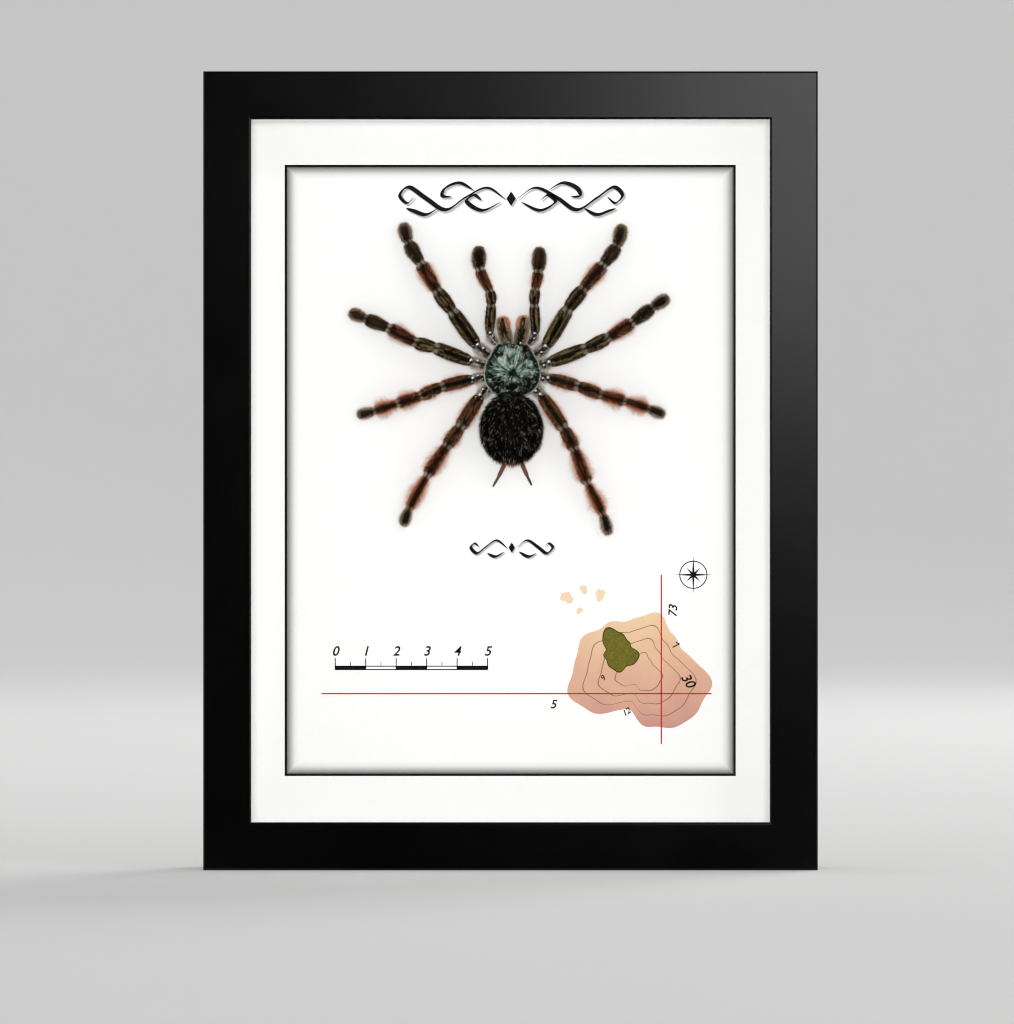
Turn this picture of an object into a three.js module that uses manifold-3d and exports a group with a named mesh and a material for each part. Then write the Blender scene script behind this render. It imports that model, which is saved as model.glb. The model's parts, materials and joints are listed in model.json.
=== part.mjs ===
import * as THREE from 'three';
import Module from 'manifold-3d';
import { mergeVertices } from 'three/addons/utils/BufferGeometryUtils.js';

// A tarantula in a glazed box frame, in millimetres. X runs to the viewer's right, Y away from the
// viewer and Z up. The origin is the middle of the frame's underside.

// Driving dimensions: the frame.
const frameWidth = 200;
const frameHeight = 260;
const frameDepth = 35;
const railWidth = 15.6;
const lipThickness = 4;
const lipOverhang = 5.8;
const edgeRadius = 0.7;
const mitreGap = 0.012;

// Driving dimensions: what is stacked in the rabbet, from the front.
const glassThickness = 2;
const spacerDepth = 20;
const spacerThickness = 3;
const cardThickness = 1;
const boardThickness = 3;
const panelThickness = 2.5;
const clearance = 0.3;

// Driving dimensions: the metal on the back.
const tabWidth = 9;
const tabLength = 11;
const tabThickness = 0.5;
const tabTilt = 0.07;
const tabPlace = 0.27;
const hangerWidth = 44;
const hangerHeight = 9;
const hangerThickness = 0.8;
const hangerRise = 1.1;
const hangerFoot = 7;
const hangerDrop = 26;
const toothPitch = 3;
const toothDepth = 1.8;
const toothShare = 0.92;
const nailShank = 1.4;
const nailHead = 3.6;
const nailHeadHeight = 0.7;
const nailLength = 3.4;
const metalGap = 0.05;

// Driving dimensions: the spider. Places are [x, z] on the card, and heights stand off the card.
const carapace = { x: 0.6, z: 163.4, width: 17.6, length: 18, top: 8.2, rim: 4.6, underside: 2.4 };
const abdomen = { x: 0.3, z: 143.2, width: 19.6, length: 21, top: 13.6, underside: 0.7 };
const legHeights = [3.9, 4.6, 7.2, 6.9, 5.2, 2.7, 2];
const palpHeights = [4, 4.6, 5.6, 5, 3.6, 2.4];
const cheliceraHeights = [5.6, 5.4, 4.2];
const spinneretHeights = [3.6, 2.6, 1.6];
const glueRadius = 4.2;

// From the body outward: coxa, trochanter, knee, end of patella, end of tibia, end of metatarsus, tip.
const legPlaces = {
  leg_1_left: [[-7.2, 168.8], [-11.1, 171.4], [-18.9, 182.1], [-23.8, 188.8], [-29.2, 197.7], [-33.4, 204.8],
    [-35.2, 211.1]],
  leg_1_right: [[8.3, 169], [11.6, 171.1], [18.7, 182.8], [23.7, 189.5], [30.1, 197.3], [34.7, 203.7],
    [36.8, 210.6]],
  leg_2_left: [[-8.7, 164.8], [-13.2, 166.1], [-24.6, 170.3], [-30.9, 172.1], [-39.6, 176.7], [-47.3, 179.9],
    [-52.6, 182.1]],
  leg_2_right: [[9.9, 164.8], [13, 165.7], [24.4, 170], [31.8, 173.6], [39.6, 178.5], [46.4, 183.5],
    [51.7, 187]],
  leg_3_left: [[-8.8, 161], [-12.5, 160.1], [-22.4, 157.6], [-29.2, 154.7], [-36.6, 152.3], [-44.4, 149.8],
    [-50.1, 148.4]],
  leg_3_right: [[10, 161], [12.7, 160.4], [21.9, 157.9], [29.4, 155.1], [37.1, 153], [45, 150.5],
    [50.4, 148.4]],
  leg_4_left: [[-7.1, 157.2], [-10, 154.4], [-16.4, 144.5], [-20.7, 138.4], [-27.1, 128.9], [-33.1, 117.9],
    [-35.2, 112.2]],
  leg_4_right: [[8, 157.3], [10.2, 154.7], [17.3, 144.1], [20.8, 137.4], [25.1, 126.4], [30.1, 116.1],
    [32.2, 109.3]],
};
// The widths of coxa, femur, patella, tibia, metatarsus and tarsus.
const legWidths = {
  leg_1: [3.2, 4.4, 4.1, 4.1, 3.8, 3.6],
  leg_2: [3.1, 4.2, 3.9, 3.8, 3.6, 3.3],
  leg_3: [3, 3.8, 3.7, 3.5, 3, 3],
  leg_4: [3.1, 4.2, 4, 3.5, 2.7, 3],
};
const palpPlaces = {
  pedipalp_left: [[-5.2, 173.2], [-6.7, 175.4], [-6.3, 184.2], [-6.8, 188.8], [-10, 195.9], [-10.4, 203.5]],
  pedipalp_right: [[6.4, 173.2], [8, 175.2], [7.8, 184.2], [8.1, 189.5], [9.1, 195.2], [9.6, 203.2]],
};
const palpWidths = [2.2, 2.8, 2.8, 3, 3.6];
const cheliceraPlaces = {
  chelicera_left: [[-1.3, 173.4], [-2.1, 177], [-2.9, 180.4]],
  chelicera_right: [[3.1, 173.4], [3.8, 177], [4.5, 180.8]],
};
const cheliceraWidths = [4.1, 4.3];
const spinneretPlaces = {
  spinneret_left: [[-1.9, 131.9], [-3.8, 128.4], [-5.8, 124.9]],
  spinneret_right: [[3.8, 131.9], [5.4, 128.6], [7, 125.3]],
};
const spinneretWidths = [1.3, 1];

// Worked out from the driving dimensions.
const rabbetWall = railWidth - lipOverhang;
const rabbetWidth = frameWidth - 2 * rabbetWall;
const rabbetHeight = frameHeight - 2 * rabbetWall;
const glassFront = lipThickness - frameDepth / 2;
const spacerFront = glassFront + glassThickness;
const cardFront = spacerFront + spacerDepth;
const boardFront = cardFront + cardThickness;
const panelFront = boardFront + boardThickness;
const panelBack = panelFront + panelThickness;
const middle = frameHeight / 2;

const wasm = await Module();
wasm.setup();

const model = new THREE.Group();

function material(color, roughness, metalness = 0) {
  return new THREE.MeshStandardMaterial({ color, roughness, metalness });
}

function add(name, geometry, look, place = [0, 0, 0]) {
  const mesh = new THREE.Mesh(geometry, look);
  mesh.name = name;
  mesh.position.set(...place);
  model.add(mesh);
  return mesh;
}

// A closed geometry as a solid for joins and cuts, and a solid back as a geometry.
function toSolid(geometry) {
  const bare = geometry.clone();
  bare.deleteAttribute('normal');
  bare.deleteAttribute('uv');
  const merged = mergeVertices(bare);
  return new wasm.Manifold(new wasm.Mesh({
    numProp: 3,
    vertProperties: new Float32Array(merged.getAttribute('position').array),
    triVerts: new Uint32Array(merged.getIndex().array),
  }));
}

function toGeometry(solid) {
  const mesh = solid.getMesh();
  const geometry = new THREE.BufferGeometry();
  geometry.setAttribute('position', new THREE.BufferAttribute(mesh.vertProperties, 3));
  geometry.setIndex(new THREE.BufferAttribute(mesh.triVerts, 1));
  geometry.computeVertexNormals();
  return geometry;
}

// Moves every vertex of a geometry to the place that the function gives for it.
function reshape(geometry, move) {
  const places = geometry.getAttribute('position');
  const vertex = new THREE.Vector3();
  for (let i = 0; i < places.count; i += 1) {
    const moved = move(vertex.fromBufferAttribute(places, i));
    places.setXYZ(i, moved.x, moved.y, moved.z);
  }
  geometry.computeVertexNormals();
  return geometry;
}

// The moulding's section: x runs inward from the outer edge, and y back from the front face.
function railSection() {
  const section = new THREE.Shape();
  section.moveTo(0, frameDepth);
  section.lineTo(0, edgeRadius);
  section.absarc(edgeRadius, edgeRadius, edgeRadius, Math.PI, 1.5 * Math.PI, false);
  section.absarc(railWidth - edgeRadius, edgeRadius, edgeRadius, 1.5 * Math.PI, 2 * Math.PI, false);
  section.lineTo(railWidth, lipThickness);
  section.lineTo(rabbetWall, lipThickness);
  section.lineTo(rabbetWall, frameDepth);
  return section;
}

// A rail with mitred ends, lying along X below the frame's middle and turned about it into place.
function addRail(name, length, outerEdge, turn) {
  const bar = new THREE.ExtrudeGeometry(railSection(), {
    depth: length, bevelEnabled: false, curveSegments: 4,
  });
  reshape(bar, (v) => {
    const end = v.z > length / 2 ? length - v.x - mitreGap : v.x + mitreGap;
    return new THREE.Vector3(length / 2 - end, v.y - frameDepth / 2, v.x - outerEdge);
  });
  const rail = add(name, bar, material('#0b0b0c', 0.42), [0, 0, middle]);
  rail.rotation.y = turn;
}

addRail('frame_bottom', frameWidth, frameHeight / 2, 0);
addRail('frame_left', frameHeight, frameWidth / 2, Math.PI / 2);
addRail('frame_top', frameWidth, frameHeight / 2, Math.PI);
addRail('frame_right', frameHeight, frameWidth / 2, 1.5 * Math.PI);

// A flat sheet that fills the rabbet, with its front face at the given depth.
function sheet(thickness, front) {
  const box = new THREE.BoxGeometry(rabbetWidth - 2 * clearance, thickness, rabbetHeight - 2 * clearance);
  return box.translate(0, front + thickness / 2, middle);
}

add('glazing', sheet(glassThickness, glassFront), material('#e8f2ee', 0.05));
add('display_card', sheet(cardThickness, cardFront), material('#fdfdfc', 0.8));
add('mount_board', sheet(boardThickness, boardFront), material('#f1f0ec', 0.9));

// The strips between glass and card: the upper and lower ones run the whole width.
function addSpacers() {
  const look = material('#f6f6f3', 0.85);
  const depth = spacerFront + spacerDepth / 2;
  const wide = new THREE.BoxGeometry(rabbetWidth - 2 * clearance, spacerDepth, spacerThickness);
  const tallSize = rabbetHeight - 2 * spacerThickness - 4 * clearance;
  const tall = new THREE.BoxGeometry(spacerThickness, spacerDepth, tallSize);
  const up = rabbetHeight / 2 - clearance - spacerThickness / 2;
  const out = rabbetWidth / 2 - clearance - spacerThickness / 2;
  add('spacer_top', wide, look, [0, depth, middle + up]);
  add('spacer_bottom', wide.clone(), look, [0, depth, middle - up]);
  add('spacer_left', tall, look, [-out, depth, middle]);
  add('spacer_right', tall.clone(), look, [out, depth, middle]);
}

addSpacers();

// A bendable tab: a strip with a rounded tip, driven into the rabbet wall and pressed over the panel.
function addTab(name, x, z, turn) {
  const outline = new THREE.Shape();
  outline.moveTo(-tabWidth / 2, 0);
  outline.lineTo(tabWidth / 2, 0);
  outline.lineTo(tabWidth / 2, tabLength - tabWidth / 2);
  outline.absarc(0, tabLength - tabWidth / 2, tabWidth / 2, 0, Math.PI, false);
  const strip = new THREE.ExtrudeGeometry(outline, {
    depth: tabThickness, bevelEnabled: false, curveSegments: 8,
  });
  strip.rotateX(-tabTilt);
  strip.rotateX(Math.PI / 2);
  strip.rotateY(turn);
  const lift = tabLength * Math.sin(tabTilt) + tabThickness + clearance;
  add(name, strip, material('#9a9a98', 0.35, 1), [x, panelBack + lift, z]);
}

function addTabs() {
  const sideways = rabbetWidth / 2 - clearance;
  const upright = rabbetHeight / 2 - clearance;
  for (const [place, share] of [['left', -tabPlace], ['right', tabPlace]]) {
    addTab(`tab_bottom_${place}`, share * rabbetWidth, middle - upright, 0);
    addTab(`tab_top_${place}`, share * rabbetWidth, middle + upright, Math.PI);
  }
  for (const [place, share] of [['lower', -tabPlace], ['upper', tabPlace]]) {
    addTab(`tab_left_${place}`, -sideways, middle + share * rabbetHeight, Math.PI / 2);
    addTab(`tab_right_${place}`, sideways, middle + share * rabbetHeight, -Math.PI / 2);
  }
}

addTabs();

const hangerTop = middle + rabbetHeight / 2 - hangerDrop;
const nailOut = (hangerWidth - hangerFoot) / 2;
const nailZ = hangerTop - hangerHeight / 2;

// Two upright holes for the hanger's nails, as tools that cut through whatever they meet.
function nailHoles() {
  const tools = [-nailOut, nailOut].map((x) => {
    const hole = new THREE.CylinderGeometry(
      nailShank / 2 + clearance, nailShank / 2 + clearance, 4 * panelThickness, 12,
    );
    return toSolid(hole.translate(x, panelBack, nailZ));
  });
  return tools[0].add(tools[1]);
}

function addBackPanel() {
  const panel = toSolid(sheet(panelThickness, panelFront));
  add('back_panel', toGeometry(panel.subtract(nailHoles())), material('#6e4a2c', 0.75));
}

addBackPanel();

// The sawtooth hanger: a strip that steps up between two feet, with teeth along its lower edge.
function addHanger() {
  const half = hangerWidth / 2;
  const foot = half - hangerFoot;
  const bridge = foot - 2 * hangerRise;
  const profile = [[-half, 0], [-foot, 0], [-bridge, hangerRise], [bridge, hangerRise], [foot, 0], [half, 0]];
  const lower = profile.map(([x, y]) => new THREE.Vector2(x, y));
  const upper = profile.map(([x, y]) => new THREE.Vector2(x, y + hangerThickness)).reverse();
  const strip = new THREE.ExtrudeGeometry(new THREE.Shape([...lower, ...upper]), {
    depth: hangerHeight, bevelEnabled: false,
  });
  strip.translate(0, panelBack + metalGap, hangerTop - hangerHeight);
  let hanger = toSolid(strip).subtract(nailHoles());
  const teeth = Math.floor(2 * bridge / toothPitch);
  for (let i = 0; i < teeth; i += 1) {
    const x = (i + 0.5 - teeth / 2) * toothPitch;
    const notch = new THREE.Shape([
      new THREE.Vector2(x - toothPitch * toothShare / 2, -1),
      new THREE.Vector2(x + toothPitch * toothShare / 2, -1),
      new THREE.Vector2(x, toothDepth),
    ]);
    const tool = new THREE.ExtrudeGeometry(notch, { depth: 4 * hangerRise, bevelEnabled: false });
    tool.rotateX(Math.PI / 2).translate(0, panelBack + 4 * hangerRise, hangerTop - hangerHeight);
    hanger = hanger.subtract(toSolid(tool));
  }
  add('sawtooth_hanger', toGeometry(hanger), material('#8b8578', 0.3, 1));
}

addHanger();

// A nail with a low domed head, standing on the hanger's foot.
function addNail(name, x) {
  const shank = nailShank / 2;
  const head = nailHead / 2;
  const profile = [[0, -nailLength], [shank, shank - nailLength], [shank, 0], [head, 0],
    [head, nailHeadHeight * 0.4], [head * 0.6, nailHeadHeight * 0.85], [0, nailHeadHeight]];
  const nail = new THREE.LatheGeometry(profile.map(([r, y]) => new THREE.Vector2(r, y)), 16);
  add(name, nail, material('#a59f92', 0.3, 1), [x, panelBack + hangerThickness + 2 * metalGap, nailZ]);
}

addNail('hanger_nail_left', -nailOut);
addNail('hanger_nail_right', nailOut);

// The glue under the body: a low mound on the card.
function addGlue() {
  const height = carapace.underside - clearance;
  const profile = [[0, 0], [glueRadius * 0.55, 0], [glueRadius * 0.8, height * 0.4], [glueRadius, height],
    [0, height]];
  const mound = new THREE.LatheGeometry(profile.map(([r, y]) => new THREE.Vector2(r, y)), 20);
  add('glue_dab', mound, material('#e9e2c8', 0.3), [carapace.x, cardFront - height, carapace.z]);
}

addGlue();

// A body part from a unit sphere whose poles point to the viewer and to the card.
function bodyGeometry(size, rim, squareness, narrowing) {
  const ball = new THREE.SphereGeometry(1, 28, 16);
  return reshape(ball, (v) => {
    const front = Math.max(0, v.z);
    const width = size.width / 2 * (1 + narrowing * front * front + squareness * v.z * v.z * (1 - v.z * v.z));
    const height = v.y < 0 ? rim + (size.top - rim) * -v.y : rim - (rim - size.underside) * v.y;
    return new THREE.Vector3(size.x + width * v.x, cardFront - height, size.z + size.length / 2 * v.z);
  });
}

const blackVelvet = material('#121110', 0.9);
add('cephalothorax', bodyGeometry(carapace, carapace.rim, 0.12, -0.08), material('#3b5650', 0.6));
add('abdomen', bodyGeometry(abdomen, (abdomen.top + abdomen.underside) / 2, 0.1, -0.05), blackVelvet);

// The half-widths along a limb, as a lathe profile whose y counts segments: each swells and narrows.
function limbProfile(widths) {
  const swelling = [[0.14, 0.9], [0.4, 1], [0.7, 0.98], [0.9, 0.88]];
  const profile = [new THREE.Vector2(0, 0), new THREE.Vector2(widths[0] * 0.3, 0)];
  widths.forEach((width, i) => {
    for (const [share, factor] of swelling) profile.push(new THREE.Vector2(width / 2 * factor, i + share));
    const next = widths[i + 1];
    if (next) profile.push(new THREE.Vector2(Math.min(width, next) / 2 * 0.78, i + 1));
  });
  profile.push(new THREE.Vector2(widths.at(-1) * 0.28, widths.length - 0.02));
  profile.push(new THREE.Vector2(0, widths.length));
  return profile;
}

// A limb: a turned profile laid along the smooth line through its joints.
function limbGeometry(places, heights, widths, sides) {
  const joints = places.map(([x, z], i) => new THREE.Vector3(x, cardFront - heights[i], z));
  const line = new THREE.CatmullRomCurve3(joints, false, 'centripetal');
  const outward = new THREE.Vector3(0, -1, 0);
  const limb = new THREE.LatheGeometry(limbProfile(widths), sides);
  return reshape(limb, (v) => {
    const along = v.y / widths.length;
    const tangent = line.getTangent(along);
    const side = tangent.clone().cross(outward).normalize();
    const lift = side.clone().cross(tangent);
    return line.getPoint(along).addScaledVector(side, v.x).addScaledVector(lift, v.z);
  });
}

function addLimbs(places, heights, widthsOf, sides, look) {
  for (const [name, joints] of Object.entries(places)) {
    add(name, limbGeometry(joints, heights, widthsOf(name), sides), look);
  }
}

const darkHide = material('#2a2016', 0.8);
addLimbs(legPlaces, legHeights, (name) => legWidths[name.slice(0, 5)], 8, darkHide);
addLimbs(palpPlaces, palpHeights, () => palpWidths, 8, darkHide);
addLimbs(cheliceraPlaces, cheliceraHeights, () => cheliceraWidths, 12, material('#4a2a1a', 0.6));
addLimbs(spinneretPlaces, spinneretHeights, () => spinneretWidths, 8, material('#6b4c42', 0.8));

export default model;
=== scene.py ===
import json
import math

import bpy
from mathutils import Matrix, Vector, noise

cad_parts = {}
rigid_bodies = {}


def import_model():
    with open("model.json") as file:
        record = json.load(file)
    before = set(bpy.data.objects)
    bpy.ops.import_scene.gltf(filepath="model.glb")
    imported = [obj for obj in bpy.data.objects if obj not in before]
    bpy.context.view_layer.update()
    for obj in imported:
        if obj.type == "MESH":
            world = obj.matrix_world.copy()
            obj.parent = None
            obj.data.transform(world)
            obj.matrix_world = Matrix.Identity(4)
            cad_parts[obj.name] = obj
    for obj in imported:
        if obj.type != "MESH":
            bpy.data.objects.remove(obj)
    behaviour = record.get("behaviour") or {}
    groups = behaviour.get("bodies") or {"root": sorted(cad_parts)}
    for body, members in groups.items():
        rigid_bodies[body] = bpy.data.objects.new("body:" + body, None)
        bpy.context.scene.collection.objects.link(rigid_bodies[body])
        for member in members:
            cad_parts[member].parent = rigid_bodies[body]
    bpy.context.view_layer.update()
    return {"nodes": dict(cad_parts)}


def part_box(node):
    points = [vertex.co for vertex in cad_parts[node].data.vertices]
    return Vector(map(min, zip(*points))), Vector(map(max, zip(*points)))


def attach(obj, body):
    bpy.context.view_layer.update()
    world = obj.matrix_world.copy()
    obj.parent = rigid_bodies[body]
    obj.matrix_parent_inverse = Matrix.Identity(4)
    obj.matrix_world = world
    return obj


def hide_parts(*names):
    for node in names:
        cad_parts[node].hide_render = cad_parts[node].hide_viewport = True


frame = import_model()
nodes = frame["nodes"]
mm = 0.001
noise.seed_set(1)  # the clock seeds vector noise otherwise, so each run would differ
print("loaded", len(nodes), "nodes of the frame and the spider")


# A socket that takes part in Python sums: each operator adds a Math node.
class Wire:
    def __init__(self, board, socket):
        self.board = board
        self.socket = socket

    def sum(self, operation, *terms):
        return self.board.add("ShaderNodeMath", {"operation": operation}, dict(enumerate(terms)))

    def __add__(self, other):
        return self.sum("ADD", self, other)

    __radd__ = __add__

    def __sub__(self, other):
        return self.sum("SUBTRACT", self, other)

    def __rsub__(self, other):
        return self.sum("SUBTRACT", other, self)

    def __mul__(self, other):
        return self.sum("MULTIPLY", self, other)

    __rmul__ = __mul__

    def __truediv__(self, other):
        return self.sum("DIVIDE", self, other)

    def __abs__(self):
        return self.sum("ABSOLUTE", self)

    def least(self, other):
        return self.sum("MINIMUM", self, other)

    def above(self, edge):
        return self.sum("GREATER_THAN", self, edge)

    def clear(self):
        return self.board.add("ShaderNodeClamp", {}, {"Value": self})


# A node tree that is built by one method, with the few mixes that most materials share.
class Board:
    def __init__(self, tree):
        self.tree = tree

    def add(self, kind, settings=None, inputs=None, output=0):
        node = self.tree.nodes.new(kind)
        for key, value in (settings or {}).items():
            if key == "stops":
                self.setStops(node.color_ramp, value)
            else:
                setattr(node, key, value)
        for key, value in (inputs or {}).items():
            if isinstance(value, Wire):
                self.tree.links.new(value.socket, node.inputs[key])
            else:
                node.inputs[key].default_value = value
        return Wire(self, node.outputs[output]) if node.outputs else node

    def setStops(self, ramp, stops):
        while len(ramp.elements) < len(stops):
            ramp.elements.new(0.5)
        for element, (place, colour) in zip(ramp.elements, stops):
            element.position = place
            element.color = tint(colour)

    def blend(self, factor, first, second, way="MIX"):
        settings = {"data_type": "RGBA", "blend_type": way}
        return self.add("ShaderNodeMix", settings, {0: factor, 6: first, 7: second}, 2)

    def ramp(self, factor, stops):
        return self.add("ShaderNodeValToRGB", {"stops": stops}, {0: factor})

    def place(self):
        return self.add("ShaderNodeTexCoord", {}, {}, 3)

    def axis(self, place, number):
        return self.add("ShaderNodeSeparateXYZ", {}, {0: place}, number)

    def noise(self, place, scale, detail=3.0, roughness=0.55):
        inputs = {"Vector": place, "Scale": scale, "Detail": detail, "Roughness": roughness}
        return self.add("ShaderNodeTexNoise", {}, inputs)

    def stretched(self, place, scale):
        return self.add("ShaderNodeMapping", {}, {"Vector": place, "Scale": scale})

    def bump(self, height, distance, strength=1.0):
        return self.add("ShaderNodeBump", {}, {"Height": height, "Distance": distance, "Strength": strength})

    def finish(self, shader):
        self.add("ShaderNodeOutputMaterial", {}, {"Surface": shader})

    def principled(self, **inputs):
        named = {key.replace("_", " "): value for key, value in inputs.items()}
        self.finish(self.add("ShaderNodeBsdfPrincipled", {}, named))


# An sRGB colour code as linear light.
def tint(code):
    parts = [int(code[i:i + 2], 16) / 255 for i in (1, 3, 5)]
    return (*[p / 12.92 if p < 0.041 else ((p + 0.055) / 1.055) ** 2.4 for p in parts], 1.0)


def newMaterial(name):
    material = bpy.data.materials.new(name)
    material.use_nodes = True
    material.node_tree.nodes.clear()
    return material, Board(material.node_tree)


# Materials of the frame and its back

satinPaint = {"black": "#000000", "worn": "#050505", "roughness": 0.23, "shine": 0.3,
              "grainPerMetre": 700, "grainDepth": 0.012}


def satinBlack():
    material, board = newMaterial("satin black paint")
    place = board.place()
    grain = board.noise(place, satinPaint["grainPerMetre"], 5.0, 0.6)
    cloud = board.noise(place, 30.0, 3.0)
    colour = board.blend(cloud, tint(satinPaint["black"]), tint(satinPaint["worn"]))
    height = board.bump(grain, satinPaint["grainDepth"] * mm, 0.35)
    roughness = satinPaint["roughness"] + (cloud - 0.5) * 0.05 + (grain - 0.5) * 0.06
    board.principled(Base_Color=colour, Roughness=roughness, Normal=height,
                     Specular_IOR_Level=satinPaint["shine"])
    return material


glassPane = {"ior": 1.5, "roughness": 0.02, "shine": 0.6}


def clearGlass():
    material, board = newMaterial("clear glass")
    through = board.add("ShaderNodeBsdfTransparent")
    sheen = {"Color": tint("#ffffff"), "Roughness": glassPane["roughness"]}
    mirror = board.add("ShaderNodeBsdfGlossy", {}, sheen)
    inside = board.add("ShaderNodeNewGeometry", {}, {}, "Backfacing")
    share = board.add("ShaderNodeFresnel", {}, {"IOR": glassPane["ior"]}) * (1 - inside) * glassPane["shine"]
    board.finish(board.add("ShaderNodeMixShader", {}, {0: share, 1: through, 2: mirror}))
    return material


foams = {
    "white strip": {"light": "#f4f4f1", "dark": "#e2e2dd", "poresPerMetre": 1600},
    "foam board": {"light": "#eeece6", "dark": "#d8d5cc", "poresPerMetre": 1100},
}


def paleFoam(name):
    look = foams[name]
    material, board = newMaterial(name)
    place = board.place()
    pores = board.noise(place, look["poresPerMetre"], 4.0, 0.65)
    colour = board.ramp(pores, [(0.3, look["dark"]), (0.65, look["light"])])
    board.principled(Base_Color=colour, Roughness=0.85, Normal=board.bump(pores, 0.05 * mm, 0.5))
    return material


fibreBoard = {"dark": "#3b2413", "light": "#7b5230", "fleck": "#a47c50", "fibresPerMetre": 900}


def hardboard():
    material, board = newMaterial("brown hardboard")
    place = board.place()
    fibres = fibreBoard["fibresPerMetre"]
    fibre = board.noise(board.stretched(place, (1.0, 1.0, 0.35)), fibres, 6.0, 0.7)
    cross = board.noise(board.stretched(place, (0.3, 1.0, 1.0)), fibres * 1.3, 5.0, 0.7)
    cloud = board.noise(place, 22.0, 2.0)
    felt = fibre * 0.55 + cross * 0.35 + cloud * 0.2
    colour = board.ramp(felt, [(0.36, fibreBoard["dark"]), (0.56, fibreBoard["light"]),
                               (0.74, fibreBoard["fleck"])])
    board.principled(Base_Color=colour, Roughness=0.72, Normal=board.bump(felt, 0.12 * mm, 0.7))
    return material


plating = {
    "zinc plated steel": {
        "light": "#b9bab8", "dark": "#7d7e7c", "roughness": 0.32, "stretch": (1.0, 1.0, 0.1),
    },
    "dull brass": {"light": "#c9a55a", "dark": "#7a5c28", "roughness": 0.3, "stretch": (0.12, 1.0, 1.0)},
}


def platedMetal(name):
    look = plating[name]
    material, board = newMaterial(name)
    place = board.place()
    brush = board.noise(board.stretched(place, look["stretch"]), 2600.0, 4.0, 0.6)
    stain = board.noise(place, 240.0, 3.0)
    colour = board.ramp(brush * 0.5 + stain * 0.5, [(0.35, look["dark"]), (0.6, look["light"])])
    roughness = look["roughness"] + (stain - 0.5) * 0.25
    board.principled(Base_Color=colour, Metallic=1.0, Roughness=roughness,
                     Normal=board.bump(brush, 0.01 * mm, 0.5))
    return material


def cloudyGlue():
    material, board = newMaterial("cloudy glue")
    cloud = board.noise(board.place(), 500.0, 2.0)
    colour = board.ramp(cloud, [(0.3, "#d8cfae"), (0.7, "#efe9d2")])
    board.principled(Base_Color=colour, Roughness=0.25, Normal=board.bump(cloud, 0.2 * mm, 0.4))
    return material


# The white card with a soft grey shade along the inside of its printed rule.
printLayout = {
    "ruleLeft": -74.1, "ruleRight": 73.9, "ruleTop": 230.5, "ruleBottom": 30.0, "ruleWidth": 0.75,
    "shadeWidth": 4.8, "inkHeight": 0.03, "inkLift": 0.015,
}
shadeStops = [(0.16, "#6a6a6a"), (0.26, "#929292"), (0.36, "#acacac"), (0.46, "#c6c6c6"), (0.58, "#dedede"),
              (0.72, "#f1f1f1"), (1.0, "#ffffff")]


def printedCard():
    material, board = newMaterial("printed white card")
    place = board.place()
    gaps = []
    for axis, low, high in ((0, "ruleLeft", "ruleRight"), (2, "ruleBottom", "ruleTop")):
        middle = (printLayout[low] + printLayout[high]) / 2 * mm
        half = (printLayout[high] - printLayout[low]) / 2 * mm
        gaps.append(half - abs(board.axis(place, axis) - middle))
    inside = gaps[0].least(gaps[1])
    depth = inside / (printLayout["shadeWidth"] * mm)
    shade = board.ramp(depth.clear(), shadeStops)
    paper = board.noise(place, 2200.0, 4.0, 0.6)
    white = board.ramp(paper, [(0.3, "#f2f2f1"), (0.6, "#f8f8f7")])
    colour = board.blend(inside.above(0.0), white, board.blend(1.0, shade, white, "MULTIPLY"))
    board.principled(Base_Color=colour, Roughness=0.7, Normal=board.bump(paper, 0.01 * mm, 0.3))
    return material


# Printing inks

inks = {
    "black ink": ("#050505", "#101010"),
    "shadow ink": ("#adadad", "#b8b8b8"),
    "faint ink": ("#d8d8d8", "#e0e0e0"),
    "contour ink": ("#8f6c55", "#9c7a60"),
    "red ink": ("#b3121a", "#c92229"),
    "olive ink": ("#5f5a10", "#75701c"),
    "deep olive ink": ("#3d3a08", "#4b4810"),
    "pale tan ink": ("#e8cda6", "#f0d9b8"),
}


def flatInk(name):
    dark, light = inks[name]
    material, board = newMaterial(name)
    dots = board.noise(board.place(), 1500.0, 3.0)
    board.principled(Base_Color=board.ramp(dots, [(0.35, dark), (0.65, light)]), Roughness=0.55)
    return material


washLook = {
    "top": 92.0, "bottom": 46.0,
    "stops": [(0.0, "#c89184"), (0.35, "#d9ab90"), (0.7, "#e6c39c"), (1.0, "#eed5ac")],
}


# A wash that runs from rose at the bottom to tan at the top.
def washInk():
    material, board = newMaterial("rose and tan wash")
    place = board.place()
    span = (washLook["top"] - washLook["bottom"]) * mm
    height = (board.axis(place, 2) - washLook["bottom"] * mm) / span
    cloud = board.noise(place, 90.0, 4.0)
    colour = board.ramp((height + (cloud - 0.5) * 0.5).clear(), washLook["stops"])
    board.principled(Base_Color=colour, Roughness=0.55)
    return material


# Materials of the spider

hides = {
    "limb hide": {"roughness": 0.45, "mottlePerMetre": 1300, "crease": 0.05, "shine": 0.1},
    "carapace hide": {"roughness": 0.5, "mottlePerMetre": 1500, "crease": 0.06, "shine": 0.15},
    "abdomen hide": {"roughness": 0.8, "mottlePerMetre": 1200, "crease": 0.1, "shine": 0.05},
}


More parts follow.
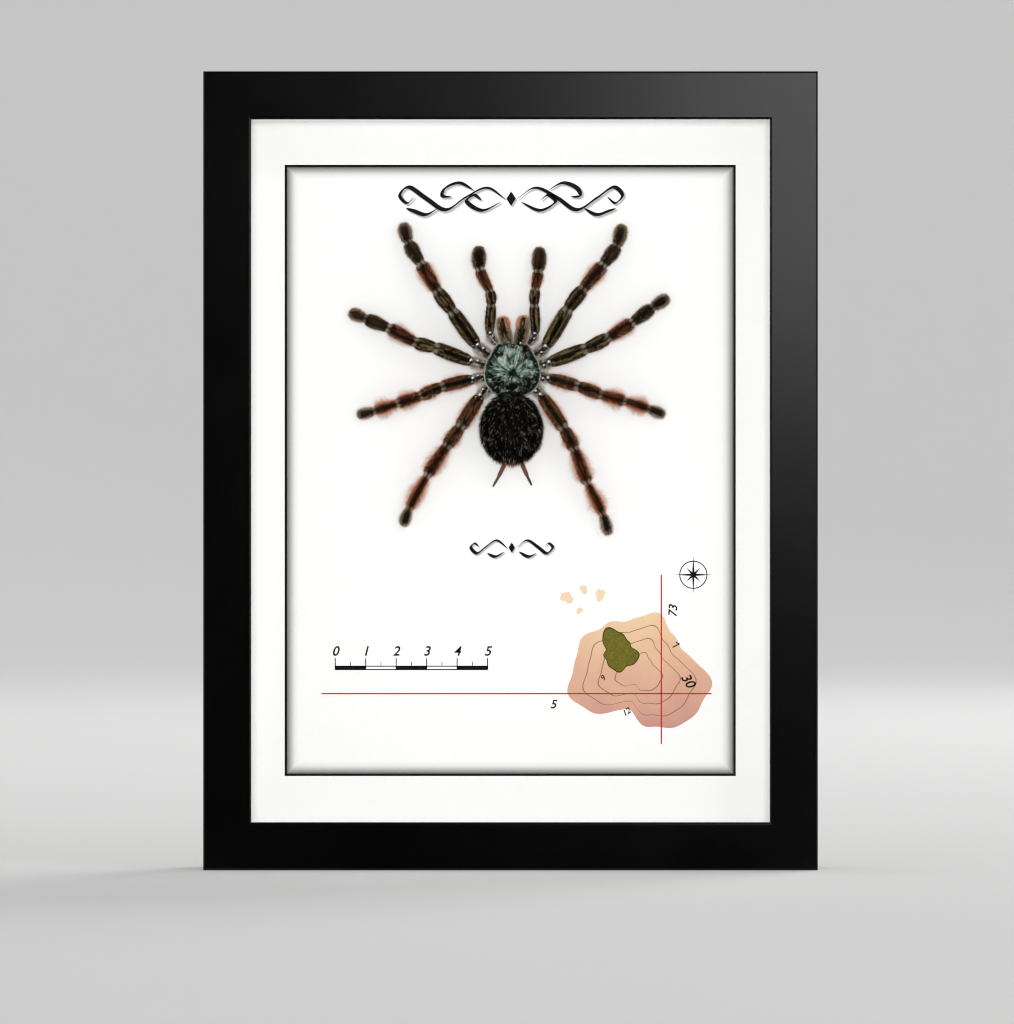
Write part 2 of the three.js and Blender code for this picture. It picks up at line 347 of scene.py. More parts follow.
# Hide takes its colour from what was painted on its points, mottled and creased at a finer scale.
def spiderHide(name):
    look = hides[name]
    material, board = newMaterial(name)
    place = board.place()
    painted = board.add("ShaderNodeAttribute", {"attribute_name": "hide"})
    mottle = board.noise(place, look["mottlePerMetre"], 5.0, 0.65)
    fine = board.noise(place, look["mottlePerMetre"] * 3.1, 3.0)
    value = 0.45 + mottle * 0.75 + fine * 0.35
    colour = board.add("ShaderNodeHueSaturation", {}, {"Color": painted, "Value": value})
    height = board.bump(mottle * 0.6 + fine * 0.4, look["crease"] * mm, 0.8)
    board.principled(Base_Color=colour, Roughness=look["roughness"] + (fine - 0.5) * 0.2, Normal=height,
                     Specular_IOR_Level=look["shine"])
    return material


# Shiny knobs and eyes, coloured by what was painted on their points: on the knobs that includes a painted
# highlight.
def polishedHide():
    material, board = newMaterial("polished hide")
    place = board.place()
    cloud = board.noise(place, 900.0, 2.0)
    painted = board.add("ShaderNodeAttribute", {"attribute_name": "hide"})
    colour = board.add("ShaderNodeHueSaturation", {}, {"Color": painted, "Value": 0.5 + cloud})
    board.principled(Base_Color=colour, Roughness=0.2 + cloud * 0.1, Specular_IOR_Level=1.0, Coat_Weight=1.0,
                     Coat_IOR=2.3, Coat_Roughness=0.16, Normal=board.bump(cloud, 0.03 * mm, 0.3))
    return material


# Each hair colour, and where it lies across the coat's colour scale.
coatColours = {
    "black": (0.03, "#030303"), "blackBrown": (0.09, "#0d0805"), "darkBrown": (0.17, "#21140b"),
    "redBrown": (0.25, "#55270f"), "rust": (0.33, "#b25a2e"), "orange": (0.42, "#e2906a"),
    "peach": (0.51, "#f3c6ac"), "peachTip": (0.57, "#f6d6c4"), "olive": (0.62, "#564829"),
    "khaki": (0.665, "#9c8b5c"), "grey": (0.7, "#8c8472"), "silver": (0.75, "#d4d2c8"),
    "silverTip": (0.8, "#e0ded6"), "ash": (0.83, "#6a6864"), "ashTip": (0.86, "#787672"),
    "deepGreen": (0.885, "#0b1a15"), "green": (0.915, "#3c5f4e"), "mint": (0.95, "#8fb39e"),
    "paleMint": (0.985, "#e4eee2"),
}
tones = {name: tone for name, (tone, colour) in coatColours.items()}


def hairCoat():
    material, board = newMaterial("hair coat")
    place = board.add("ShaderNodeUVMap", {"uv_map": "OFBake"}, {})
    tone, along = board.axis(place, 0), board.axis(place, 1)
    shift = 0.07 - tone.above(0.81) * 0.06  # how much paler a tip is than its root
    colour = board.ramp(tone + along * shift, list(coatColours.values()))
    # Each hair is darker at its root and brighter at its tip: painted shade down among the roots, and painted
    # light through the thin tips.
    lit = board.add("ShaderNodeHueSaturation", {}, {"Color": colour, "Value": 0.75 + along * 0.5})
    board.principled(Base_Color=lit, Roughness=0.5, Specular_IOR_Level=0.05)
    return material


looks = {
    "paint": satinBlack(), "glass": clearGlass(), "card": printedCard(), "hardboard": hardboard(),
    "glue": cloudyGlue(), "polished": polishedHide(), "coat": hairCoat(), "wash": washInk(),
}
for make, names in ((paleFoam, foams), (platedMetal, plating), (spiderHide, hides), (flatInk, inks)):
    looks.update({name: make(name) for name in names})
nodeLooks = {
    "frame_": "paint", "glazing": "glass", "spacer_": "white strip", "display_card": "card",
    "mount_board": "foam board", "back_panel": "hardboard", "tab_": "zinc plated steel",
    "sawtooth_hanger": "dull brass", "hanger_nail": "dull brass", "glue_dab": "glue",
}
for name, node in nodes.items():
    for start, look in nodeLooks.items():
        if name.startswith(start):
            for slot in node.material_slots:
                slot.material = looks[look]
print("materials made:", len(looks))


# Meshes

def addObject(name, data):
    thing = bpy.data.objects.new(name, data)
    bpy.context.scene.collection.objects.link(thing)
    return thing


def makeObject(name, points, faces, materials, smooth=False, unit=mm):
    mesh = bpy.data.meshes.new(name)
    mesh.from_pydata([Vector(p) * unit for p in points], [], faces, shade_flat=not smooth)
    for material in materials:
        mesh.materials.append(material)
    return addObject(name, mesh)


# Writes one value for each point or face, under a name of its own.
def addLayer(mesh, name, kind, domain, values):
    layer = mesh.attributes.new(name, kind, domain)
    layer.data.foreach_set("vector" if kind == "FLOAT_VECTOR" else "value", values)


# The final mesh of an object, as its modifiers or its text make it. The object itself goes.
def meshFrom(thing, keepLayers=False):
    graph = bpy.context.evaluated_depsgraph_get()
    mesh = bpy.data.meshes.new_from_object(thing.evaluated_get(graph), preserve_all_data_layers=keepLayers,
                                           depsgraph=graph)
    bpy.data.objects.remove(thing)
    mesh.materials.clear()
    return mesh


def placePiece(thing, slot, *replaced):
    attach(thing, "root")
    if replaced:
        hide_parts(*replaced)


coats = ("fur", "brush")
bare = ((0.0, 0.0, 1.0), 0.0, 0.0, 0.0)  # comb, length in mm, tone, cover


# A mesh under construction: rings of points that are bridged, and small closed shapes beside them.
class Build:
    def __init__(self):
        self.points, self.faces, self.slots, self.uv = [], [], [], []
        self.colours, self.coats = [], {coat: [] for coat in coats}

    def point(self, place, colour, fur=bare, brush=bare):
        self.points.append(tuple(place))
        self.colours.append((*colour[:3], 1.0))
        self.coats["fur"].append(fur)
        self.coats["brush"].append(brush)
        return len(self.points) - 1

    def face(self, corners, places, slot=0):
        self.faces.append(tuple(corners))
        self.uv.extend(places)
        self.slots.append(slot)

    # Bridges closed rings of point numbers, first to last, and shuts both ends on a pole.
    def skin(self, rings, poles, slot=0):
        sides = len(rings[0])
        rows = len(rings) + 1
        for row in range(len(rings) - 1):
            for i in range(sides):
                j = (i + 1) % sides
                corners = [rings[row][i], rings[row][j], rings[row + 1][j], rings[row + 1][i]]
                left, right, low, high = i / sides, (i + 1) / sides, (row + 1) / rows, (row + 2) / rows
                self.face(corners, [(left, low), (right, low), (right, high), (left, high)], slot)
        for i in range(sides):
            j = (i + 1) % sides
            left, middle, right = i / sides, (i + 0.5) / sides, (i + 1) / sides
            self.face([rings[0][j], rings[0][i], poles[0]],
                      [(right, 1 / rows), (left, 1 / rows), (middle, 0)], slot)
            self.face([rings[-1][i], rings[-1][j], poles[1]],
                      [(left, 1 - 1 / rows), (right, 1 - 1 / rows), (middle, 1)], slot)

    # A small lumpy ball, pulled out along each axis by its size, with a painted highlight: a pale spot on its
    # front, up on its left.
    def ball(self, centre, size, slot=1, colour=(0.01, 0.008, 0.006), sides=14, rows=8, fur=None, pale=0.0):
        rings = []
        for row in range(1, rows):
            turn = math.pi * row / rows
            ring = []
            for i in range(sides):
                spin = -math.tau * i / sides
                place = (math.sin(turn) * math.cos(spin), -math.cos(turn), math.sin(turn) * math.sin(spin))
                coat = (place, *fur) if fur and place[1] < -0.1 else bare
                lump = 1 + 0.16 * noise.noise(Vector(place) * 1.4 + Vector(centre))
                # The painted highlight fades in towards the front, up and to the left, where the key lamp
                # stands.
                glint = pale * ease(0.8, 0.92, -0.2 * place[0] - 0.87 * place[1] + 0.42 * place[2])
                spot = [c + s * p * lump for c, s, p in zip(centre, size, place)]
                ring.append(self.point(spot, betweenAll(colour, (0.6, 0.62, 0.6), glint), coat))
            rings.append(ring)
        poles = [self.point((centre[0], centre[1] - size[1], centre[2]), colour),
                 self.point((centre[0], centre[1] + size[1], centre[2]), colour)]
        self.skin(rings, poles, slot)

    def finish(self, name, materials):
        thing = makeObject(name, self.points, self.faces, materials, True)
        mesh = thing.data
        mesh.polygons.foreach_set("material_index", self.slots)
        layer = mesh.uv_layers.new(name="OFBake")
        layer.uv.foreach_set("vector", [x for pair in self.uv for x in pair])
        paint = mesh.color_attributes.new("hide", "FLOAT_COLOR", "POINT")
        paint.data.foreach_set("color", [x for c in self.colours for x in c])
        for coat, grown in self.coats.items():
            addLayer(mesh, coat + "Comb", "FLOAT_VECTOR", "POINT", [x for entry in grown for x in entry[0]])
            addLayer(mesh, coat + "Length", "FLOAT", "POINT", [entry[1] for entry in grown])
            addLayer(mesh, coat + "Cover", "FLOAT", "POINT", [entry[3] for entry in grown])
            addLayer(mesh, coat + "Tone", "FLOAT", "FACE", [grown[corners[0]][2] for corners in self.faces])
        return thing


def ease(low, high, x):
    t = min(1.0, max(0.0, (x - low) / (high - low)))
    return t * t * (3 - 2 * t)


def between(a, b, share):
    return a + (b - a) * share


def betweenAll(a, b, share):
    return tuple(between(x, y, share) for x, y in zip(a, b))


def hill(x, width):
    return math.exp(-(x / width) ** 2)


# The hair tree: spikes on points scattered over a skin, combed by the skin's own attributes.

def hairSpike(name, rings, bend):
    points, faces = [], []
    for z, r in rings:
        for i in range(3):
            spin = math.tau * i / 3
            points.append((r * math.cos(spin) + bend * z * z, r * math.sin(spin), z))
    points.append((bend, 0.0, 1.0))
    faces.append((2, 1, 0))
    for row in range(len(rings)):
        for i in range(3):
            a, b = 3 * row + i, 3 * row + (i + 1) % 3
            faces.append((a, b, b + 3, a + 3) if row < len(rings) - 1 else (a, b, len(points) - 1))
    thing = makeObject(name, points, faces, [], unit=1)
    addLayer(thing.data, "along", "FLOAT", "POINT", [p[2] for p in points])
    addLayer(thing.data, "around", "FLOAT", "POINT", [(i % 3 - 1) * 0.006 for i in range(len(points))])
    return thing


spikes = {"fur": hairSpike("straight hair", [(0.0, 1.0)], -1.5),
          "brush": hairSpike("curved hair", [(0.0, 1.0), (0.5, 0.75)], -7.0)}
coatInputs = {
    "fur per mm2": 20.0, "fur thickness": 0.055, "fur disorder": 0.12, "fur tone jitter": 0.05,
    "fur shortest": 0.45, "fur pale share": 0.03, "fur pale tone": tones["olive"],
    "brush per mm2": 9.0, "brush thickness": 0.065, "brush disorder": 0.22, "brush tone jitter": 0.04,
    "brush shortest": 0.35, "brush pale share": 0.25, "brush pale tone": tones["peach"],
}


def coatTree():
    tree = bpy.data.node_groups.new("combed coats", "GeometryNodeTree")
    tree.is_modifier = True
    tree.interface.new_socket("Skin", in_out="INPUT", socket_type="NodeSocketGeometry")
    seed = tree.interface.new_socket("seed", in_out="INPUT", socket_type="NodeSocketInt")
    sockets = {"seed": seed.identifier}
    for label, value in coatInputs.items():
        socket = tree.interface.new_socket(label, in_out="INPUT", socket_type="NodeSocketFloat")
        socket.default_value = value
        sockets[label] = socket.identifier
    tree.interface.new_socket("Hair", in_out="OUTPUT", socket_type="NodeSocketGeometry")
    board = Board(tree)
    source = tree.nodes.new("NodeGroupInput")
    given = {label: Wire(board, source.outputs[label]) for label in ("Skin", "seed", *coatInputs)}
    joined = tree.nodes.new("GeometryNodeJoinGeometry")
    for order, coat in enumerate(coats):
        hairs = coatChain(board, given, coat, order * 100)
        tree.links.new(hairs.socket, joined.inputs[0])
    real = board.add("GeometryNodeRealizeInstances", {}, {"Geometry": Wire(board, joined.outputs[0])})
    spot = board.add("ShaderNodeCombineXYZ", {},
                     {0: (named(board, "tone") + named(board, "around")).clear(), 1: named(board, "along")})
    mapped = board.add("GeometryNodeStoreNamedAttribute", {"data_type": "FLOAT2", "domain": "CORNER"},
                       {"Geometry": real, "Name": "OFBake", "Value": spot})
    soft = board.add("GeometryNodeSetShadeSmooth", {}, {"Geometry": mapped})
    dressed = board.add("GeometryNodeSetMaterial", {}, {"Geometry": soft, "Material": looks["coat"]})
    board.add("NodeGroupOutput", {}, {"Hair": dressed})
    return tree, sockets


def named(board, label, kind="FLOAT"):
    return board.add("GeometryNodeInputNamedAttribute", {"data_type": kind}, {"Name": label})


def coatChain(board, given, coat, seedStep):
    seed = given["seed"] + seedStep

    def chance(low, high, step):
        return board.add("FunctionNodeRandomValue", {"data_type": "FLOAT"},
                         {2: low, 3: high, "Seed": seed + step}, 1)

    density = given[coat + " per mm2"] * 1e6 * named(board, coat + "Cover")
    scatter = board.add("GeometryNodeDistributePointsOnFaces", {"distribute_method": "RANDOM"},
                        {"Mesh": given["Skin"], "Density": density, "Seed": seed})
    normal = Wire(board, scatter.socket.node.outputs["Normal"])
    stray = board.add("FunctionNodeRandomValue", {"data_type": "FLOAT_VECTOR"},
                      {0: (-1.0, -1.0, -1.0), 1: (1.0, 1.0, 1.0), "Seed": seed + 11})
    strayed = board.add("ShaderNodeVectorMath", {"operation": "SCALE"},
                        {0: stray, "Scale": given[coat + " disorder"]})
    heading = board.add("ShaderNodeVectorMath", {"operation": "ADD"},
                        {0: named(board, coat + "Comb", "FLOAT_VECTOR"), 1: strayed})
    upright = board.add("FunctionNodeAlignRotationToVector", {"axis": "Z"}, {"Vector": heading})
    turned = board.add("FunctionNodeAlignRotationToVector", {"axis": "X", "pivot_axis": "Z"},
                       {"Rotation": upright, "Vector": normal})
    pale = chance(0.0, 1.0, 53).above(1 - given[coat + " pale share"])
    length = named(board, coat + "Length") * chance(given[coat + " shortest"], 1.1, 23)
    length = length * (1 + pale * 0.25) * mm
    width = given[coat + " thickness"] * chance(0.7, 1.2, 31) * mm
    size = board.add("ShaderNodeCombineXYZ", {}, {0: width, 1: width, 2: length})
    spike = board.add("GeometryNodeObjectInfo", {}, {"Object": spikes[coat]}, "Geometry")
    hairs = board.add("GeometryNodeInstanceOnPoints", {},
                      {"Points": scatter, "Instance": spike, "Rotation": turned, "Scale": size})
    plain = named(board, coat + "Tone")
    tone = plain + (given[coat + " pale tone"] - plain) * pale
    tone = tone + chance(-1.0, 1.0, 47) * given[coat + " tone jitter"]
    return board.add("GeometryNodeStoreNamedAttribute", {"data_type": "FLOAT", "domain": "INSTANCE"},
                     {"Geometry": hairs, "Name": "tone", "Value": tone})


hairTree, hairSockets = coatTree()
hairCount = {}


def growHair(skin, slot, seed, **style):
    grower = addObject("grower", skin.data)
    modifier = grower.modifiers.new("hair", "NODES")
    modifier.node_group = hairTree
    modifier[hairSockets["seed"]] = seed
    for label, value in style.items():
        modifier[hairSockets[label.replace("_", " ")]] = value
    mesh = meshFrom(grower, True)
    for label in [layer.name for layer in mesh.attributes if layer.name not in ("position", "OFBake")]:
        layer = mesh.attributes[label]
        if not (layer.is_internal or layer.is_required):
            mesh.attributes.remove(layer)
    mesh.materials.append(looks["coat"])
    mesh.polygons.foreach_set("material_index", [0] * len(mesh.polygons))
    name = skin.name.replace("_body", "_hair")
    placePiece(addObject(name, mesh), slot)
    mesh.calc_loop_triangles()
    hairCount[name] = len(mesh.loop_triangles)


# The spider. Places are [x, z] on the card and heights stand off the card's front face.
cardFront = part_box("display_card")[0][1] / mm
legHeights = [2.7, 3.7, 7.0, 6.9, 5.2, 2.8, 2.1]
palpHeights = [2.8, 3.8, 5.4, 5.0, 3.6, 2.5]
cheliceraHeights = [5.2, 5.4, 4.4]
spinneretHeights = [3.6, 2.6, 1.6]
legPlaces = {
    "leg_1_left": [(-6.2, 167.4), (-11.1, 171.4), (-18.9, 182.1), (-23.8, 188.8), (-29.2, 197.7),
                   (-33.4, 204.8), (-35.2, 211.1)],
    "leg_1_right": [(7.3, 167.6), (11.6, 171.1), (18.7, 182.8), (23.7, 189.5), (30.1, 197.3),
                    (34.7, 203.7), (36.8, 210.6)],
    "leg_2_left": [(-7.2, 164.4), (-13.2, 166.1), (-24.6, 170.3), (-30.9, 172.1), (-39.6, 176.7),
                   (-47.3, 179.9), (-52.6, 182.1)],
    "leg_2_right": [(8.4, 164.4), (13.0, 165.7), (24.4, 170.0), (31.8, 173.6), (39.6, 178.5),
                    (46.4, 183.5), (51.7, 187.0)],
    "leg_3_left": [(-7.2, 161.2), (-12.5, 160.1), (-22.4, 157.6), (-29.2, 154.7), (-36.6, 152.3),
                   (-44.4, 149.8), (-50.1, 148.4)],
    "leg_3_right": [(8.4, 161.2), (12.7, 160.4), (21.9, 157.9), (29.4, 155.1), (37.1, 153.0),
                    (45.0, 150.5), (50.4, 148.4)],
    "leg_4_left": [(-6.0, 158.4), (-10.0, 154.4), (-16.4, 144.5), (-20.7, 138.4), (-27.1, 128.9),
                   (-33.1, 117.9), (-35.2, 112.2)],
    "leg_4_right": [(7.0, 158.4), (10.2, 154.7), (17.3, 144.1), (20.8, 137.4), (25.1, 126.4),
                    (30.1, 116.1), (32.2, 109.3)],
}
legWidths = {
    "leg_1": [3.4, 4.4, 4.2, 4.0, 4.0, 3.7], "leg_2": [3.3, 4.2, 4.0, 3.8, 3.8, 3.4],
    "leg_3": [3.1, 3.8, 3.8, 3.5, 3.0, 3.1], "leg_4": [3.2, 4.2, 4.1, 3.6, 2.9, 3.1],
}
palpPlaces = {
    "pedipalp_left": [(-4.6, 171.6), (-6.7, 175.4), (-6.3, 184.2), (-6.8, 188.8), (-10.0, 195.9),
                      (-10.4, 203.5)],
    "pedipalp_right": [(5.8, 171.6), (8.0, 175.2), (7.8, 184.2), (8.1, 189.5), (9.1, 195.2), (9.6, 203.2)],
}
palpWidths = [2.6, 3.1, 3.1, 3.1, 4.0]
cheliceraPlaces = {
    "chelicera_left": [(-0.9, 171.0), (-2.1, 176.2), (-2.7, 180.1)],
    "chelicera_right": [(2.7, 171.0), (3.9, 176.2), (4.4, 180.5)],
}
cheliceraWidths = [4.2, 4.3]
spinneretPlaces = {
    "spinneret_left": [(-1.9, 132.4), (-3.8, 128.4), (-5.8, 124.9)],
    "spinneret_right": [(3.8, 132.4), (5.4, 128.6), (7.0, 125.3)],
}
spinneretWidths = [1.4, 1.0]
legParts = ["coxa", "femur", "patella", "tibia", "metatarsus", "tarsus"]
palpParts = ["coxa", "femur", "patella", "tibia", "palpTarsus"]

# How wide each part is along its length, as a share of its width.
partShapes = {
    "coxa": [(0, 0.9), (0.4, 1.12), (0.85, 1.06), (1, 0.84)],
    "femur": [(0, 0.76), (0.12, 0.92), (0.45, 1.06), (0.88, 1.0), (1, 0.76)],
    "patella": [(0, 0.74), (0.15, 0.96), (0.55, 1.08), (0.88, 1.0), (1, 0.72)],
    "tibia": [(0, 0.72), (0.15, 0.92), (0.65, 1.08), (0.9, 1.08), (1, 0.68)],
    "metatarsus": [(0, 0.58), (0.15, 0.88), (0.6, 1.12), (0.87, 1.0), (1, 0.58)],
    "tarsus": [(0, 0.56), (0.15, 0.94), (0.5, 1.1), (0.75, 1.04), (0.9, 0.8), (1, 0.0)],
    "palpTarsus": [(0, 0.56), (0.13, 0.92), (0.4, 1.08), (0.7, 1.04), (0.9, 0.76), (1, 0.0)],
    "fangBase": [(0, 0.9), (0.5, 1.04), (1, 0.98)],
    "fangTip": [(0, 0.98), (0.4, 0.96), (0.75, 0.78), (0.92, 0.5), (1, 0.0)],
    "spinBase": [(0, 1.0), (0.9, 0.86), (1, 0.8)],
    "spinTip": [(0, 0.86), (0.6, 0.8), (0.9, 0.55), (1, 0.0)],
}

# For each part: hide on top and at the sides, fur on top and at the sides as (length in mm, tone, cover),
# and the brush that stands out at the sides as (length, tone, cover, how far out it stands).
frontLooks = {
    "coxa": ("#1d1611", "#6e6454", (0.6, "darkBrown", 0.6), (0.9, "grey", 0.9), (1.3, "silver", 1.1, 0.6)),
    "femur": ("#050503", "#1c170d", (0.6, "black", 0.6), (0.7, "darkBrown", 0.9), (1.1, "khaki", 0.3, 0.5)),
    "patella": ("#080604", "#2c2012", (0.6, "black", 0.6), (0.7, "blackBrown", 1.0),
                (1.1, "rust", 0.3, 0.5)),
    "tibia": ("#100804", "#2e160b", (0.7, "blackBrown", 0.7), (0.9, 0.2, 1.1), (2.3, 0.45, 0.65, 0.7)),
    "metatarsus": ("#070503", "#1c150d", (0.6, "black", 0.7), (0.7, "blackBrown", 1.0),
                   (0.9, "olive", 0.8, 0.5)),
    "tarsus": ("#120906", "#2b2318", (0.5, "blackBrown", 0.8), (0.6, "olive", 1.2), (0.75, 0.655, 2.2, 0.6)),
}
rearLooks = {
    **frontLooks,
    "femur": ("#090603", "#38200f", (0.6, "black", 0.6), (0.7, 0.2, 1.0), (2.0, 0.44, 0.5, 0.6)),
    "patella": ("#0c0805", "#442814", (0.6, "black", 0.6), (0.7, 0.2, 1.0), (2.0, 0.44, 0.55, 0.6)),
    "tibia": ("#180b06", "#481f0d", (0.7, "blackBrown", 0.7), (1.0, 0.23, 1.1), (2.8, 0.45, 0.85, 0.72)),
    "metatarsus": ("#200f08", "#5e2b16", (0.7, "blackBrown", 0.8), (1.0, "rust", 1.0),
                   (2.8, 0.44, 1.0, 0.72)),
    "tarsus": ("#16100b", "#453d2e", (0.5, "blackBrown", 0.8), (0.6, "khaki", 1.2), (0.8, "grey", 2.2, 0.6)),
}
palpLooks = {
    **frontLooks,
    "tibia": ("#1c0c06", "#3c1c0e", (0.6, "blackBrown", 0.8), (0.8, 0.22, 1.1), (1.4, 0.45, 0.65, 0.6)),
    "palpTarsus": ("#080503", "#1a150b", (0.5, "black", 0.9), (0.6, "darkBrown", 1.0),
                   (0.75, 0.645, 1.7, 0.6)),
}
# The colour of the stripes that run along each part, as hide and as fur.
stripeLooks = {
    "coxa": ("#b3aa96", "grey"), "femur": ("#64562f", "olive"), "patella": ("#5e4a28", "olive"),
    "tibia": ("#50290f", 0.23), "metatarsus": ("#3c2e1a", "darkBrown"), "tarsus": ("#2e180c", "darkBrown"),
    "palpTarsus": ("#30220f", "darkBrown"),
}
rearStripes = {**stripeLooks, "femur": ("#644828", 0.23), "patella": ("#5a4025", 0.23)}
collarColour = "#dccdb0"


def toneOf(tone):
    return tones.get(tone, tone)


# The smooth line through a limb's joints at u joints from the body, and its direction there.
def limbLine(joints, u):
    i = min(int(u), len(joints) - 2)
    t = u - i
    a, b = joints[i], joints[i + 1]
    before = joints[i - 1] if i > 0 else 2 * a - b
    after = joints[i + 2] if i + 2 < len(joints) else 2 * b - a
    square, cube = 2 * before - 5 * a + 4 * b - after, 3 * a - before - 3 * b + after
    spot = 0.5 * (2 * a + (b - before) * t + square * t * t + cube * t * t * t)
    run = 0.5 * ((b - before) + 2 * square * t + 3 * cube * t * t)
    return spot, run.normalized()


# The share of a part's width at t along it. A part that ends in nothing has a round tip.
def partWidth(shape, t):
    start, width = shape[-2]
    if shape[-1][1] == 0 and t >= start:
        return width * math.sqrt(max(0.0, 1 - ((t - start) / (1 - start)) ** 2))
    for (t0, w0), (t1, w1) in zip(shape, shape[1:]):
        if t <= t1:
            return between(w0, w1, ease(t0, t1, t))
    return shape[-1][1]


limbMesh = {
    "sides": 24, "rows": 14, "tipCrowding": 1.35, "slim": 0.99, "flatness": 0.94, "stripeAt": 0.46,
    "stripeWidth": 0.1, "groove": 0.05, "jointWidth": 0.045,
}


def buildLimb(name, places, heights, widths, parts, partLooks, knobs=(), inner=0, innerTone="rust",
              stripes=stripeLooks):
    build = Build()
    joints = [Vector((x, cardFront - h, z)) for (x, z), h in zip(places, heights)]
    start = joints[0]
    sides, rows = limbMesh["sides"], limbMesh["rows"]
    isLeg = len(parts) > 2
    rings = []
    for part, label in enumerate(parts):
        topHide, sideHide, topFur, sideFur, brush = partLooks[label]
        stripeHide, stripeFur = stripes.get(label, ("#5c5233", "olive"))
        isLast = part == len(parts) - 1
        for row in range(rows):
            t = (row + 0.5) / rows
            if isLast:
                t = 1 - (1 - t) ** limbMesh["tipCrowding"]
            turn = part + t
            spot, run = limbLine(joints, turn)
            lift = Vector((0, -1, 0))
            lift = (lift - run * lift.dot(run)).normalized()
            side = run.cross(lift)
            radius = widths[part] / 2 * limbMesh["slim"] * partWidth(partShapes[label], t)

            # Pale skin at the joints, where the hair thins out and shortens.
            joint = 0.0
            if isLeg and turn > 1.5:
                joint = hill(turn - round(turn), limbMesh["jointWidth"]) * (1.0 if round(turn) == 4 else 0.6)
            clear = (1 - joint) * (ease(0.0, 0.12, t) if part > 0 else 1.0)
            swell = between(0.6, 1.08, ease(0.0, 0.5, t))
            if not isLast:
                clear *= 1 - 0.6 * ease(0.93, 1.0, t)
                swell *= 1 - 0.5 * ease(0.65, 1.0, t)

            ring = []
            for i in range(sides):
                spin = math.tau * i / sides
                flank, up = math.cos(spin), math.sin(spin)
                line = hill(abs(flank) - limbMesh["stripeAt"], limbMesh["stripeWidth"]) * max(0.0, up)
                girth = radius * (1 - limbMesh["groove"] * line)
                outward = side * flank + lift * up
                place = spot + (side * flank + lift * (up * limbMesh["flatness"])) * girth
                grain = noise.noise(place * 1.3)
                share = ease(0.3, 0.9, abs(flank) + grain * 0.25)

                # Hide, with stripes along the part and flecks between them.
                fleck = noise.noise(Vector((flank * 2.4, up * 2.4, turn * 1.5)) + start * 3.0)
                line = max(line * (0.6 + grain), ease(0.27, 0.38, fleck) * ease(-0.1, 0.2, up) * 0.9)
                line *= ease(0.03, 0.12, t) * (1 - ease(0.86, 0.96, t))
                colour = betweenAll(tint(topHide), tint(sideHide), share)
                colour = betweenAll(colour, tint(stripeHide), min(0.85, line))
                colour = betweenAll(colour, tint(collarColour), joint * ease(0.0, 0.6, abs(flank)))

                tone = sideFur[1] if share > 0.5 else topFur[1]
                if line > 0.4:
                    tone = stripeFur
                brushTone = brush[1]
                if inner * flank > 0.45 and turn > 0.9 or isLast and inner and t > 0.8:
                    tone = brushTone = innerTone
                fur = ((run * 0.96 + outward * 0.2)[:], between(topFur[0], sideFur[0], share), toneOf(tone),
                       between(topFur[2], sideFur[2], share) * between(0.3, 1.0, clear))

                # The brush stands at the sides, and all round the tip.
                stand = ease(0.55, 0.95, abs(flank)) if up > -0.5 else 0.4
                if isLast:
                    stand = max(stand, ease(0.72, 0.98, t))
                comb = run * (1 - brush[3] * 0.75) + outward * brush[3]
                grown = (comb[:], brush[0] * swell * (0.85 + 0.5 * grain), toneOf(brushTone),
                         brush[2] * stand * between(0.2, 1.0, clear))
                ring.append(build.point(place, colour, fur, grown))
            rings.append(ring)
    end, run = limbLine(joints, len(parts) - 0.001)
    sideHide, lastCoats = partLooks[parts[-1]][1], partLooks[parts[-1]][3:5]
    grown = [(run[:], coat[0], toneOf(coat[1]), coat[2]) for coat in lastCoats]
    poles = [build.point(start, tint(partLooks[parts[0]][0])), build.point(end, tint(sideHide), *grown)]
    build.skin(rings, poles)
    addKnobs(build, joints, widths[0], knobs)
    return build.finish(name + "_body", [looks["limb hide"], looks["polished"]])


# The bare shiny knobs at a limb's root: how far along its joints, size, and how far aside, the last two
# as shares of the root's width. The bigger knobs get a painted highlight.
knobColour = (0.012, 0.01, 0.008)
legKnobs = [(0.42, 0.22, -0.6), (0.66, 0.27, 0.5), (0.96, 0.32, 0.1), (1.03, 0.21, -0.85), (1.1, 0.17, 0.8)]
fangKnobs = [(0.17, 0.19, 0.35), (0.22, 0.12, -0.6)]


def addKnobs(build, joints, width, knobs):
    for u, share, offset in knobs:
        spot, run = limbLine(joints, u)
        lift = Vector((0, -1, 0))
        centre = spot + lift * (width * 0.36) + run.cross(lift) * (offset * width * 0.4)
        radius = width * share
        # How strong the painted highlight is: none on the smallest knobs.
        pale = ease(0.2, 0.3, share) * 0.8
        build.ball(centre, (radius, radius * 0.85, radius), 1, knobColour, 16, 12, None, pale)


def addLegs():
    for number, (name, places) in enumerate(legPlaces.items()):
        partLooks, stripes = (rearLooks, rearStripes) if name[4] in "34" else (frontLooks, stripeLooks)
        leg = buildLimb(name, places, legHeights, legWidths[name[:5]], legParts, partLooks, legKnobs,
                        stripes=stripes)
        placePiece(leg, "leg_hide", name)
        growHair(leg, "leg_hide", 10 + number)


def addPalps():
    for number, (name, places) in enumerate(palpPlaces.items()):
        palp = buildLimb(name, places, palpHeights, palpWidths, palpParts, palpLooks, legKnobs)
        placePiece(palp, "leg_hide", name)
        growHair(palp, "leg_hide", 30 + number)


addLegs()
addPalps()
print("legs and pedipalps grown")

